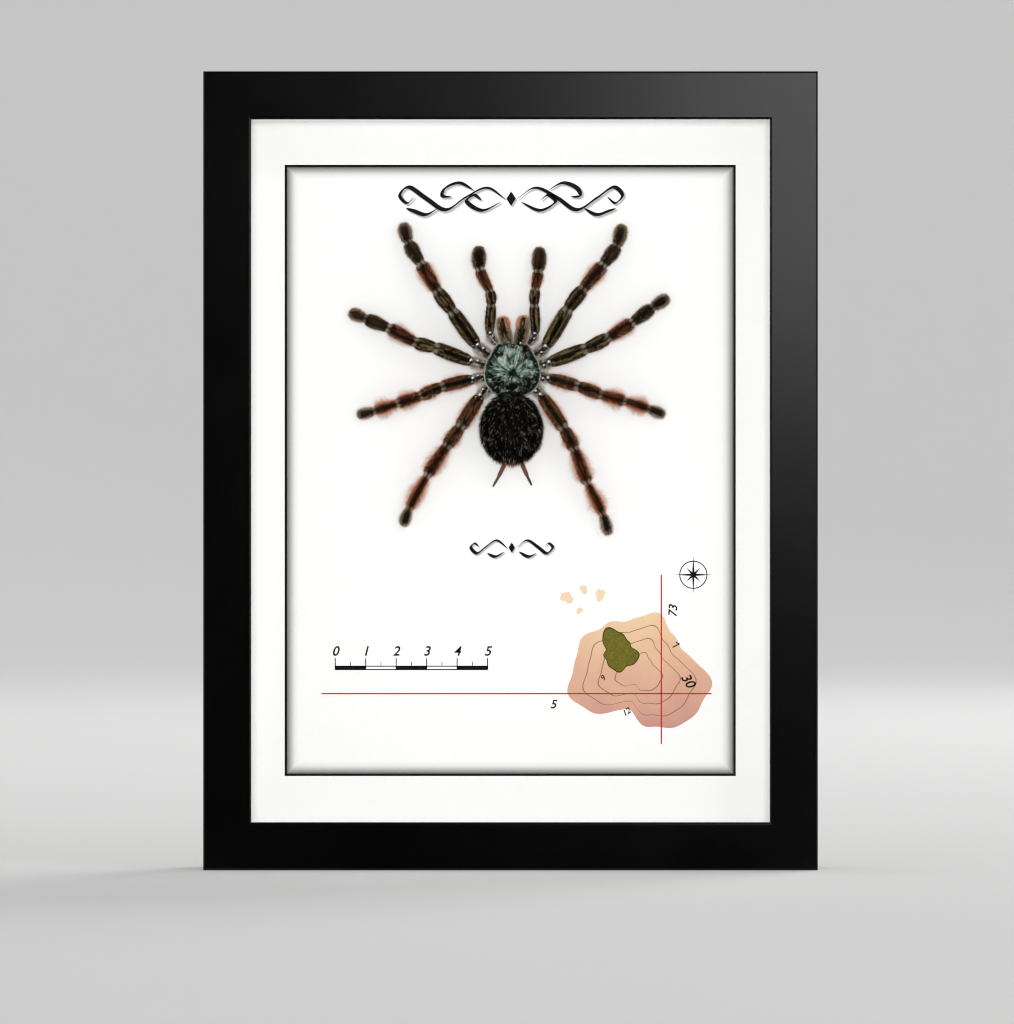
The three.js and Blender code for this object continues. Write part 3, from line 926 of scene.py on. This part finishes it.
# Chelicerae: stout, olive grey outside, rust hair on the inner side and over the fangs.
cheliceraLooks = {
    "fangBase": ("#14100c", "#3a342a", (0.8, "blackBrown", 0.8), (0.9, "olive", 1.1),
                 (0.9, "grey", 0.8, 0.4)),
    "fangTip": ("#2a1b12", "#4a4232", (0.9, "darkBrown", 1.0), (0.9, "olive", 1.4), (1.3, "grey", 1.3, 0.3)),
}
spinneretLooks = {
    "spinBase": ("#6d493e", "#7d594c", (0.4, "redBrown", 0.6), (0.5, "redBrown", 0.6),
                 (0.6, "grey", 0.3, 0.4)),
    "spinTip": ("#54403a", "#6b514a", (0.4, "darkBrown", 0.8), (0.4, "grey", 0.7), (0.5, "grey", 0.3, 0.4)),
}


def addChelicerae():
    for number, (name, places) in enumerate(cheliceraPlaces.items()):
        inner = 1 if name.endswith("left") else -1
        body = buildLimb(name, places, cheliceraHeights, cheliceraWidths, ["fangBase", "fangTip"],
                         cheliceraLooks, fangKnobs, inner, 0.4)
        placePiece(body, "chelicerae", name)
        growHair(body, "chelicerae", 40 + number, brush_pale_share=0.2, fur_tone_jitter=0.06)


def addSpinnerets():
    for number, (name, places) in enumerate(spinneretPlaces.items()):
        body = buildLimb(name, places, spinneretHeights, spinneretWidths, ["spinBase", "spinTip"],
                         spinneretLooks)
        placePiece(body, "spinnerets", name)
        growHair(body, "spinnerets", 50 + number, fur_thickness=0.035, brush_thickness=0.03)


addChelicerae()
addSpinnerets()
print("chelicerae and spinnerets grown")

# The carapace: an egg-shaped shield, cut straight in front, with grooves out from the pit in its middle.
# The outline is its right half, front to rear, as [x, z] from its middle.
carapace = {
    "x": 0.6, "z": 163.4, "top": 8.6, "rim": 5.0, "underside": 2.3, "pit": -1.3, "sides": 104, "rows": 36,
    "skirt": 10,
    "outline": [(0.0, 8.65), (2.6, 8.6), (4.7, 8.3), (5.6, 7.2), (6.8, 5.2), (8.3, 2.6), (9.0, 0.3),
                (9.15, -2.1), (8.75, -4.3), (8.0, -5.8), (6.6, -7.3), (5.0, -8.2), (2.8, -8.6), (0.0, -8.7)],
}
shellColours = {"dark": "#050b0a", "green": "#335449", "rim": "#c3c6ba"}


# The closed outline, clockwise seen from the front, at even angles.
def shellOutline():
    half = carapace["outline"]
    loop = half + [(-x, z) for x, z in reversed(half[1:-1])]
    joints = [Vector((x, 0, z)) for x, z in loop + loop[:2]]
    count = carapace["sides"]
    return [limbLine(joints, len(loop) * i / count)[0] for i in range(count)]


def shieldHeight(rho, x, z):
    dome = carapace["rim"] + (carapace["top"] - carapace["rim"]) * (1 - rho ** 2.6) ** 0.8
    head = 0.8 * math.exp(-(x / 4.2) ** 4) * ease(0.5, 3.5, z) * (1 - ease(0.88, 1.0, rho))
    away = math.hypot(x, z - carapace["pit"])
    angle = math.atan2(z - carapace["pit"], x)
    grooves = 0.3 * abs(math.cos(angle * 4 + 0.4)) ** 8 * ease(1.0, 3.0, away) * (1 - ease(0.7, 0.97, rho))
    fold = 0.5 * hill(abs(x) - 1.6 - 0.62 * max(0.0, z - carapace["pit"]), 0.5)
    fold *= ease(0.5, 2.0, z - carapace["pit"]) * (1 - ease(0.75, 0.95, rho))
    return dome + head - 0.9 * hill(away, 0.9) - grooves - fold


# Dark patches as [x, z, size], and small pale spots as [x, z].
shellPatches = [(-4.9, 5.2, 2.7), (4.7, 5.4, 2.8), (-7.0, 0.8, 1.5), (7.2, 1.8, 1.3), (0.0, -5.7, 3.0),
                (-4.7, -4.9, 2.7), (4.8, -4.6, 2.6), (-6.9, -2.6, 1.4), (7.2, -2.4, 1.3), (0.0, -1.2, 1.1),
                (0.0, 7.6, 1.3)]
shellSpots = [(-1.1, -3.3), (0.9, -3.3), (-2.7, -7.0), (-1.0, -7.3), (1.9, -6.9), (-7.4, -3.8), (5.4, 1.6),
              (-3.4, 2.6), (2.2, 4.4), (-1.5, 4.8), (6.8, -4.4), (-4.0, -1.6), (4.2, -1.0)]


# How bright the green is at a place on the shell, and whether the place is dark.
def shellPaint(x, z, rho):
    away = math.hypot(x, z - carapace["pit"])
    angle = math.atan2(z - carapace["pit"], x)
    streak = noise.noise(Vector((math.cos(angle) * 5.0, math.sin(angle) * 5.0, away * 0.35)))
    speck = noise.noise(Vector((x * 1.3, z * 1.3, 7.0)))
    wobble = noise.noise(Vector((x * 0.7, z * 0.7, 1.0))) * 0.9
    dark = max(hill(math.hypot(x - px, z - pz) + wobble, size * 1.1) for px, pz, size in shellPatches)
    spot = max(hill(math.hypot(x - px, z - pz), 0.75) for px, pz in shellSpots)
    fan = 0.3 * max(0.0, math.sin(angle)) - 0.3 * ease(0.1, 0.8, -math.sin(angle))
    bright = 0.3 + fan + streak * 1.9 + speck * 1.1 + spot
    return max(0.0, min(1.0, bright)), dark + streak * 0.5 - spot > 0.55


def addCarapace():
    build = Build()
    outline = shellOutline()
    rings = []
    dark, green, rimColour = (tint(shellColours[key]) for key in ("dark", "green", "rim"))
    for row in range(carapace["rows"] + carapace["skirt"]):
        ring = []
        onTop = row < carapace["rows"]
        rho = (row + 0.6) / (carapace["rows"] - 0.4)
        t = (row - carapace["rows"] + 1) / carapace["skirt"]
        if not onTop:
            rho = 1 + 0.03 * math.sin(math.pi * min(1.0, t * 2.5)) - 0.5 * ease(0.3, 1.0, t)
        for edge in outline:
            x, z = edge.x * rho, edge.z * rho
            height = shieldHeight(min(rho, 1.0), x, z)
            if not onTop:
                height = between(carapace["rim"], carapace["underside"], ease(0.0, 0.8, t))
            place = (carapace["x"] + x, cardFront - height, carapace["z"] + z)

            bright, isDark = shellPaint(x, z, rho)
            colour = betweenAll(dark, green, 0.0 if isDark else bright * 0.8)
            rim = ease(0.978, 0.99, rho) if onTop else 1 - ease(0.02, 0.12, t)
            rim *= 0.75 + 0.8 * noise.noise(Vector((edge.x, edge.z, 2.0)) * 0.9)
            colour = betweenAll(colour, rimColour, min(1.0, max(0.0, rim)))

            # Fur fans out from the pit, and short bristles stand round the rim.
            comb = Vector((x, 0, z - carapace["pit"])).normalized() * 0.85 + Vector((0, -0.4, 0))
            tone = tones["black"] if isDark else between(tones["deepGreen"], tones["paleMint"], bright)
            cover = (0.7 if isDark else 1.0) * (1 - ease(0.83, 0.88, rho)) if onTop else 0.0
            fur = (comb[:], 1.0 - 0.55 * ease(0.65, 0.88, rho), tone, cover)
            outward = Vector((edge.x, 0, edge.z)).normalized()
            brush = ((outward + Vector((0, 0.1, 0)))[:], 0.8, tones["grey"], 0.4 * (1 - ease(0.5, 0.8, t)))
            if onTop:
                comb = outward + Vector((0, -0.25, 0))
                brush = (comb[:], 0.5, tones["silver"], 0.2 * ease(0.9, 0.95, rho))
            ring.append(build.point(place, colour, fur, brush))
        rings.append(ring)
    x, z = carapace["x"], carapace["z"]
    middleFur = ((0, -0.4, 1.0), 0.6, tones["green"], 1.0)
    poles = [build.point((x, cardFront - shieldHeight(0, 0, 0), z), dark, middleFur),
             build.point((x, cardFront - carapace["underside"], z), dark)]
    build.skin(rings, poles)
    addEyes(build)
    body = build.finish("carapace_body", [looks["carapace hide"], looks["polished"]])
    placePiece(body, "carapace", "cephalothorax")
    growHair(body, "carapace", 60, fur_per_mm2=19.0, fur_thickness=0.125, fur_disorder=0.42,
             fur_tone_jitter=0.03, fur_pale_share=0.08, fur_pale_tone=tones["paleMint"],
             brush_pale_tone=tones["silver"])


# The low turret near the front edge, with eight eyes.
eyeTurret = {"x": 0.6, "z": 170.6, "height": 7.2, "size": (1.9, 0.9, 1.2), "colour": "#1b1613"}
# Each eye's place from the turret's middle, and its radius.
eyes = [(-0.55, 0.35, 0.36), (0.55, 0.35, 0.36), (-1.35, 0.7, 0.28), (1.35, 0.7, 0.28), (-1.25, -0.45, 0.26),
        (1.25, -0.45, 0.26), (-0.85, -0.65, 0.2), (0.85, -0.65, 0.2)]


def addEyes(build):
    x, z, front = eyeTurret["x"], eyeTurret["z"], cardFront - eyeTurret["height"]
    halfWidth, halfDepth, halfHeight = eyeTurret["size"]
    fur = (0.35, tones["silver"], 0.16)
    build.ball((x, front, z), eyeTurret["size"], 0, tint(eyeTurret["colour"]), 24, 14, fur)
    for dx, dz, radius in eyes:
        reach = 1 - (dx / halfWidth) ** 2 - (dz / halfHeight) ** 2
        rise = halfDepth * math.sqrt(max(0.05, reach))
        build.ball((x + dx, front - rise + 0.05, z + dz), (radius, radius, radius))


addCarapace()

# The abdomen: a black velvet bag, browner round the spinnerets.
abdomen = {
    "x": 0.3, "z": 143.9, "halfWidth": 9.8, "halfLength": 11.5, "top": 13.2, "underside": 0.8, "sides": 64,
    # The last two set the painted glints: grey dabs of hair that stand for sparkle of light on the velvet.
    "rows": 44, "black": "#070606", "brown": "#3a1a12", "dabTone": 0.845, "paintedGlintShare": 0.36,
}


def addAbdomen():
    build = Build()
    rings = []
    middle = Vector((abdomen["x"], cardFront - (abdomen["top"] + abdomen["underside"]) / 2, abdomen["z"]))
    half = (abdomen["halfWidth"], (abdomen["top"] - abdomen["underside"]) / 2, abdomen["halfLength"])
    black = tint(abdomen["black"])
    for row in range(1, abdomen["rows"]):
        turn = math.pi * row / abdomen["rows"]
        ring = []
        for i in range(abdomen["sides"]):
            spin = -math.tau * i / abdomen["sides"]
            girth = math.sin(turn)
            outward = Vector((girth * math.cos(spin), -math.cos(turn), girth * math.sin(spin)))
            lump = 1 + 0.03 * noise.noise(outward * 2.6) + 0.016 * noise.noise(outward * 9.0)
            place = middle + Vector([o * h * lump for o, h in zip(outward, half)])
            brown = ease(0.78, 1.0, -outward.z)
            darkTone = between(tones["black"], tones["redBrown"], brown)

            # Velvet that swirls towards the rear, with dabs of grey hair that are painted glints of light on
            # the velvet, and tufts round the edge.
            comb = outward * 0.5 + Vector((0, 0, -0.7)) + noise.noise_vector(place * 0.35) * 0.8
            isPaintedGlint = noise.noise(place * 2.3 + Vector((0.0, 0.0, 9.0))) > abdomen["paintedGlintShare"]
            fur = (comb[:], 0.95 if isPaintedGlint else 0.85, abdomen["dabTone"] if isPaintedGlint else darkTone,
                   1.0 if outward.y < 0.5 else 0.5)
            stand = 0.2 + 0.8 * ease(0.55, 1.0, girth)
            tuft = 1.0 + 0.6 * noise.noise(place * 0.9)
            brush = ((outward * 0.8 + Vector((0, 0, -0.5)))[:], 1.7 * tuft, darkTone, 0.8 * stand)
            colour = betweenAll(black, tint(abdomen["brown"]), brown)
            ring.append(build.point(place, colour, fur, brush))
        rings.append(ring)
    topFur = ((0, -0.6, -0.75), 1.1, tones["black"], 1.0)
    poles = [build.point((middle.x, cardFront - abdomen["top"], middle.z), black, topFur),
             build.point((middle.x, cardFront - abdomen["underside"], middle.z), black)]
    build.skin(rings, poles)
    body = build.finish("abdomen_body", [looks["abdomen hide"]])
    placePiece(body, "abdomen_velvet", "abdomen")
    growHair(body, "abdomen_velvet", 70, fur_per_mm2=20.0, fur_thickness=0.09, fur_disorder=0.4,
             fur_tone_jitter=0.02, fur_pale_share=0.03, fur_pale_tone=0.69, brush_pale_share=0.03,
             brush_pale_tone=tones["grey"])


addAbdomen()
print("body grown; hair triangles:", sum(hairCount.values()), "most in one piece:", max(hairCount.values()))

# What is printed on the card. Each mark is a thin closed slab of ink, and higher layers stand prouder.
inkBack = cardFront - printLayout["inkLift"]


def inkFront(layer):
    return inkBack - printLayout["inkHeight"] * (1 + layer * 0.7)


# A slab from strips of quads: each strip is a row of (left, right) point pairs.
def inkStrips(name, strips, material, closed=False, layer=0):
    points, faces = [], []
    front = inkFront(layer)
    for strip in strips:
        base = len(points)
        for (ax, az), (bx, bz) in strip:
            points += [(ax, front, az), (bx, front, bz), (bx, inkBack, bz), (ax, inkBack, az)]
        count = len(strip)
        for i in range(count if closed else count - 1):
            a, b = base + 4 * i, base + 4 * ((i + 1) % count)
            for k in range(4):
                j = (k + 1) % 4
                faces.append((a + k, b + k, b + j, a + j))
        if not closed:
            faces.append((base, base + 1, base + 2, base + 3))
            end = base + 4 * (count - 1)
            faces.append((end + 3, end + 2, end + 1, end))
    placePiece(makeObject(name, points, faces, [looks[material]]), "printed_card")


def addRule():
    rule = []
    for xEnd, zEnd in (("Left", "Bottom"), ("Right", "Bottom"), ("Right", "Top"), ("Left", "Top")):
        x, z = printLayout["rule" + xEnd], printLayout["rule" + zEnd]
        inX = printLayout["ruleWidth"] * (1 if xEnd == "Left" else -1)
        inZ = printLayout["ruleWidth"] * (1 if zEnd == "Bottom" else -1)
        rule.append(((x + inX, z + inZ), (x, z)))
    inkStrips("print_rule", [rule], "black ink", True)


# A pen stroke along a smooth line: a broad nib makes it thick or thin by its direction.
pen = {"nibTurn": 0.7, "stepsPerCurve": 14, "tip": 0.02}


def penStroke(places, thick, thin):
    joints = [Vector((x, 0, z)) for x, z in places]
    strip = []
    count = (len(joints) - 1) * pen["stepsPerCurve"]
    for i in range(count + 1):
        spot, run = limbLine(joints, min(i / pen["stepsPerCurve"], len(joints) - 1 - 1e-6))
        angle = math.atan2(run.z, run.x)
        width = thin + (thick - thin) * abs(math.sin(angle - pen["nibTurn"]))
        width *= math.sqrt(max(pen["tip"], math.sin(math.pi * i / count)))
        across = Vector((-run.z, 0, run.x)) * width / 2
        strip.append(((spot.x - across.x, spot.z - across.z), (spot.x + across.x, spot.z + across.z)))
    return strip


# Pen flourishes, each with a soft printed shadow down to the right. Curves are its right half.
flourishes = {
    "title": {
        "x": 0.2, "z": 219.4, "thick": 1.5, "thin": 0.5, "shadow": 0.62, "diamond": (1.5, 2.4),
        "curves": [
            [(2.0, 0.0), (8.0, 3.6), (15.0, 0.4), (21.5, -3.6), (28.0, 0.2), (33.5, 3.8), (36.5, 1.2),
             (34.2, -1.4), (31.6, 0.6)],
            [(3.4, -1.2), (9.5, -3.8), (14.5, -1.0), (12.2, 1.2), (9.8, -0.4)],
            [(12.5, 3.0), (17.0, 5.2), (21.5, 3.6), (22.6, 1.0), (19.6, 0.6)],
            [(24.0, -3.2), (28.0, -5.2), (32.0, -4.0), (34.4, -3.2)],
        ],
    },
    "small": {
        "x": 0.4, "z": 104.9, "thick": 1.15, "thin": 0.4, "shadow": 0.45, "diamond": (1.0, 1.7),
        "curves": [
            [(1.6, 0.0), (5.0, 2.4), (8.6, 0.2), (11.4, -1.8), (13.4, 0.0), (12.2, 1.4), (10.9, 0.5)],
            [(2.4, -1.4), (5.4, -2.9), (8.0, -1.9)],
        ],
    },
}
inkCoats = [("faint ink", 1.0, 0.7), ("shadow ink", 0.75, 0.2), ("black ink", 0.0, 0.0)]


def addFlourish(name, look):
    halfWide, halfHigh = look["diamond"]
    for layer, (ink, shift, spread) in enumerate(inkCoats):
        x, z = look["x"] + look["shadow"] * shift, look["z"] - look["shadow"] * shift
        thick, thin = (look[width] + look["shadow"] * spread for width in ("thick", "thin"))
        strokes = [penStroke([(x + side * a, z + b) for a, b in curve], thick, thin)
                   for curve in look["curves"] for side in (1, -1)]
        strokes.append([((x + a, z - b), (x + a, z + b)) for a, b in ((-halfWide, 0.02), (0, halfHigh),
                                                                      (halfWide, 0.02))])
        inkStrips("print_" + name + "_" + ink.replace(" ", "_"), strokes, ink, False, layer)


# A 50 mm scale with plain numerals.
scaleBar = {"x": -57.5, "z": 66.0, "step": 10.0, "count": 5, "bar": 1.1, "tick": 2.6, "numeral": 4.4}


def straight(x0, z0, x1, z1, width):
    run = Vector((x1 - x0, z1 - z0)).normalized() * width / 2
    return [((x0 + run.y, z0 - run.x), (x0 - run.y, z0 + run.x)),
            ((x1 + run.y, z1 - run.x), (x1 - run.y, z1 + run.x))]


def addScale():
    x, z, step, bar, tick = (scaleBar[key] for key in ("x", "z", "step", "bar", "tick"))
    end = x + step * scaleBar["count"]
    strips = [straight(x, z, end, z, 0.3), straight(x, z - bar, end, z - bar, 0.3)]
    for i in range(scaleBar["count"] + 1):
        here = x + i * step
        strips.append(straight(here, z - bar, here, z + tick, 0.3))
        if i < scaleBar["count"]:
            strips.append(straight(here + step / 2, z, here + step / 2, z + tick * 0.55, 0.2))
            if i % 2 == 0:
                strips.append(straight(here, z - bar / 2, here + step, z - bar / 2, bar))
    inkStrips("print_scale_bar", strips, "black ink")
    for i in range(scaleBar["count"] + 1):
        addNumeral("scale", str(i), x + i * step, z + tick + 0.9, scaleBar["numeral"])


def addNumeral(place, text, x, z, size, layer=0, turn=0.0):
    curve = bpy.data.curves.new("numeral " + text, "FONT")
    curve.body = text
    curve.size = size * mm
    curve.align_x = "CENTER"
    curve.offset = 0.012 * size * mm
    curve.extrude = (inkBack - inkFront(layer)) / 2 * mm
    curve.shear = 0.25
    mesh = meshFrom(addObject("numeral " + text, curve))
    depth = (inkFront(layer) + inkBack) / 2 * mm
    for vertex in mesh.vertices:
        across, up, out = vertex.co
        vertex.co = (x * mm + across * math.cos(turn) - up * math.sin(turn), depth - out,
                     z * mm + across * math.sin(turn) + up * math.cos(turn))
    mesh.materials.append(looks["black ink"])
    placePiece(addObject("print_" + place + "_numeral_" + text, mesh), "printed_card")


# An imagined island in tan and rose, with an olive wood on it, drawn by rounds of waves.
island = {
    "x": 42.0, "z": 64.0, "size": 19.5,
    "waves": [(2, 0.16, 0.6), (3, 0.12, 2.1), (5, 0.07, 0.4), (9, 0.03, 1.0), (14, 0.018, 2.0)],
}
wood = {
    "x": 35.5, "z": 71.0, "size": 6.0,
    "waves": [(2, 0.2, 2.2), (3, 0.14, 0.3), (5, 0.08, 1.7), (9, 0.04, 0.8)],
}
islets = [(18.5, 88.5, 1.9, 0.4), (24.0, 91.2, 1.3, 1.6), (29.4, 89.4, 1.7, 2.9), (22.6, 84.2, 1.0, 4.0)]
islandNumerals = [("7", 53.5, 72.0, 3.2, -0.5), ("12", 38.5, 50.2, 2.8, 0.6), ("30", 57.0, 60.5, 4.6, -1.0),
                  ("9", 31.0, 61.5, 2.6, 0.9)]


def coast(shape, size=None, turn=0.0):
    points = []
    radius = size or shape["size"]
    for i in range(220):
        angle = math.tau * i / 220
        reach = 1 + sum(a * math.cos(k * angle + p + turn) for k, a, p in shape["waves"])
        points.append((shape["x"] + radius * reach * math.cos(angle),
                       shape["z"] + radius * reach * math.sin(angle)))
    return points


# A filled outline whose middle sees all of its edge.
def inkBlot(name, outlines, material, layer=0):
    points, faces = [], []
    front = inkFront(layer)
    for outline in outlines:
        base, count = len(points), len(outline)
        cx, cz = (sum(p[k] for p in outline) / count for k in (0, 1))
        points += [(x, front, z) for x, z in outline] + [(x, inkBack, z) for x, z in outline]
        points += [(cx, front, cz), (cx, inkBack, cz)]
        for i in range(count):
            j = (i + 1) % count
            faces.append((base + i, base + j, base + 2 * count))
            faces.append((base + count + j, base + count + i, base + 2 * count + 1))
            faces.append((base + j, base + i, base + count + i, base + count + j))
    placePiece(makeObject(name, points, faces, [looks[material]]), "printed_card")


def addIsland():
    inkBlot("print_island", [coast(island)], "wash")
    inkBlot("print_wood", [coast(wood)], "olive ink", 1)
    small = [coast({**island, "x": x, "z": z}, radius, turn) for x, z, radius, turn in islets]
    inkBlot("print_islets", small, "pale tan ink")
    edge = list(zip(coast(wood, wood["size"] - 0.35), coast(wood)))
    inkStrips("print_wood_edge", [edge], "deep olive ink", True, 2)
    contours = [list(zip(coast(island, size), coast(island, size - 0.3))) for size in (15.4, 11.2, 6.6)]
    inkStrips("print_island_contours", contours, "contour ink", True, 0.5)
    for text, x, z, size, turn in islandNumerals:
        addNumeral("island", text, x, z, size, 2, turn)


# A thin red grid cross over the island with its numbers, and a small compass star.
redLines = [(-62.0, 57.0, 66.0, 57.0), (49.5, 40.5, 49.5, 96.0)]
gridNumerals = [("5", 14.0, 52.2, 4.0, 0.0), ("73", 54.6, 84.0, 4.0, 1.5)]
compass = {
    "x": 60.0, "z": 96.0, "star": [6.2, 0.9, 3.2, 0.9] * 4, "ringInside": [4.3] * 64,
    "ringOutside": [4.6] * 64,
}


# Points round the compass, one at each distance from its middle.
def compassPoints(distances):
    points = []
    for i, distance in enumerate(distances):
        angle = math.tau * i / len(distances)
        points.append((compass["x"] + distance * math.cos(angle), compass["z"] + distance * math.sin(angle)))
    return points


def addChartLines():
    inkStrips("print_red_lines", [straight(*line, 0.42) for line in redLines], "red ink", False, 3)
    for text, x, z, size, turn in gridNumerals:
        addNumeral("grid", text, x, z, size, 0, turn)
    inkBlot("print_compass_star", [compassPoints(compass["star"])], "black ink")
    ring = list(zip(compassPoints(compass["ringInside"]), compassPoints(compass["ringOutside"])))
    inkStrips("print_compass_ring", [ring], "black ink", True)


addRule()
for name, look in flourishes.items():
    addFlourish(name, look)
addScale()
addIsland()
addChartLines()
for spike in spikes.values():
    bpy.data.objects.remove(spike)
print("card printed")

# The floor: flat under the frame, and curving up far away on every side.
floorShape = {
    "flat": 3.6, "far": 7.5, "rise": 5.0, "sides": 96, "rows": 40, "colour": "#dededd", "glow": 0.33,
}


def addFloor():
    points, faces = [(0.0, 0.0, 0.0)], []
    sides, flat, far = floorShape["sides"], floorShape["flat"], floorShape["far"]
    for row in range(1, floorShape["rows"] + 1):
        radius = far * row / floorShape["rows"]
        climb = min(1.0, max(0.0, (radius - flat) / (far - flat)))
        height = floorShape["rise"] * (1 - math.sqrt(1 - climb * climb))
        for i in range(sides):
            angle = math.tau * i / sides
            points.append((radius * math.cos(angle), radius * math.sin(angle), height))
    for i in range(sides):
        faces.append((0, 1 + i, 1 + (i + 1) % sides))
    for row in range(floorShape["rows"] - 1):
        for i in range(sides):
            j = (i + 1) % sides
            a, b = 1 + row * sides, 1 + (row + 1) * sides
            faces.append((a + i, b + i, b + j, a + j))
    material, board = newMaterial("pale floor")
    colour = tint(floorShape["colour"])
    board.principled(Base_Color=colour, Roughness=0.8, Emission_Color=colour,
                     Emission_Strength=floorShape["glow"])
    makeObject("floor", points, faces, [material], True, 1)


# A dark sheet that only reflections see: a runner that widens from the frame and stands up behind the
# camera. The black paint and the glass look into it from the front, and its sides fade out. Each row gives
# its place along the floor, its height, how far it is quite dark on each side and how far it reaches.
darkRows = [(-0.0176, 0.0006, 0.07, 0.2), (-3.3, 0.0006, 1.1, 1.6), (-3.3, 1.9, 1.1, 1.6)]


def addDarkSheet():
    points = [(side, y, z) for y, z, dark, reach in darkRows for side in (-reach, -dark, dark, reach)]
    faces = [(i, i + 1, i + 5, i + 4) for i in (0, 1, 2, 4, 5, 6)]
    material, board = newMaterial("dark sheet")
    shade = board.add("ShaderNodeAttribute", {"attribute_name": "shade"}, {}, 2)
    through = board.add("ShaderNodeBsdfTransparent")
    dark = board.add("ShaderNodeBsdfDiffuse", {}, {"Color": tint("#000000")})
    board.finish(board.add("ShaderNodeMixShader", {}, {0: shade, 1: through, 2: dark}))
    sheet = makeObject("dark_sheet", points, faces, [material], unit=1)
    addLayer(sheet.data, "shade", "FLOAT", "POINT", [0.0, 1.0, 1.0, 0.0] * len(darkRows))
    sheet.visible_camera = False
    sheet.visible_diffuse = False
    sheet.visible_shadow = False
    sheet.visible_transmission = False


# Lights: place, what it points at, width, height, watts, whether glossy surfaces see it, and the only
# pieces that it reaches, by a part of their names. Only the floor and the glass have no underscore in theirs.
lamps = {
    "front fill": ((0.0, -2.9, 0.14), (0.0, 0.0, 0.13), 0.55, 0.55, 68.0, False, ("_",)),
    "window glow": ((0.18, -0.8, 0.335), (0.1, 0.0, 0.2), 0.25, 0.32, 1.25, True, ("frame_",)),
    "spider key": ((-0.5, -1.0, 0.95), (0.0, 0.0, 0.155), 0.62, 0.62, 5.0, True, ("_body", "_hair")),
    "right spark": ((1.5, -2.2, 1.7), (0.0, 0.0, 0.13), 0.3, 0.3, 5.0, True, ()),
    "behind": ((1.4, 2.4, 1.9), (0.0, 0.0, 0.12), 1.4, 1.4, 30.0, True, ()),
}


def piecesNamed(words):
    chosen = bpy.data.collections.new("lit")
    for thing in bpy.context.scene.objects:
        if any(word in thing.name for word in words):
            chosen.objects.link(thing)
    return chosen


def addLights():
    for name, (place, target, width, height, watts, shiny, only) in lamps.items():
        light = bpy.data.lights.new(name, "AREA")
        light.shape = "RECTANGLE"
        light.size = width
        light.size_y = height
        light.energy = watts
        lamp = addObject(name, light)
        lamp.location = place
        lamp.rotation_euler = (Vector(target) - lamp.location).to_track_quat("-Z", "Y").to_euler()
        lamp.visible_camera = False
        lamp.visible_glossy = shiny
        if only:
            lamp.light_linking.receiver_collection = piecesNamed(only)
    world = bpy.data.worlds.new("studio")
    world.use_nodes = True
    sky = world.node_tree.nodes["Background"].inputs
    sky["Color"].default_value = tint("#f2f3f5")
    sky["Strength"].default_value = 0.38
    world.cycles_visibility.glossy = False
    bpy.context.scene.world = world
    bpy.context.scene.view_settings.view_transform = "Standard"
    bpy.context.scene.cycles.filter_width = 1.0


# The camera stands square to the front, far away, so that the box shows no depth.
cameraView = {"place": (-0.00114, -3.0175, 0.1166), "lens": 324.2}


def addCamera():
    lens = bpy.data.cameras.new("camera")
    lens.lens = cameraView["lens"]
    lens.clip_start = 0.05
    lens.clip_end = 60.0
    camera = addObject("camera", lens)
    camera.location = cameraView["place"]
    camera.rotation_euler = (math.pi / 2, 0.0, 0.0)
    bpy.context.scene.camera = camera


addFloor()
addDarkSheet()
addLights()
addCamera()
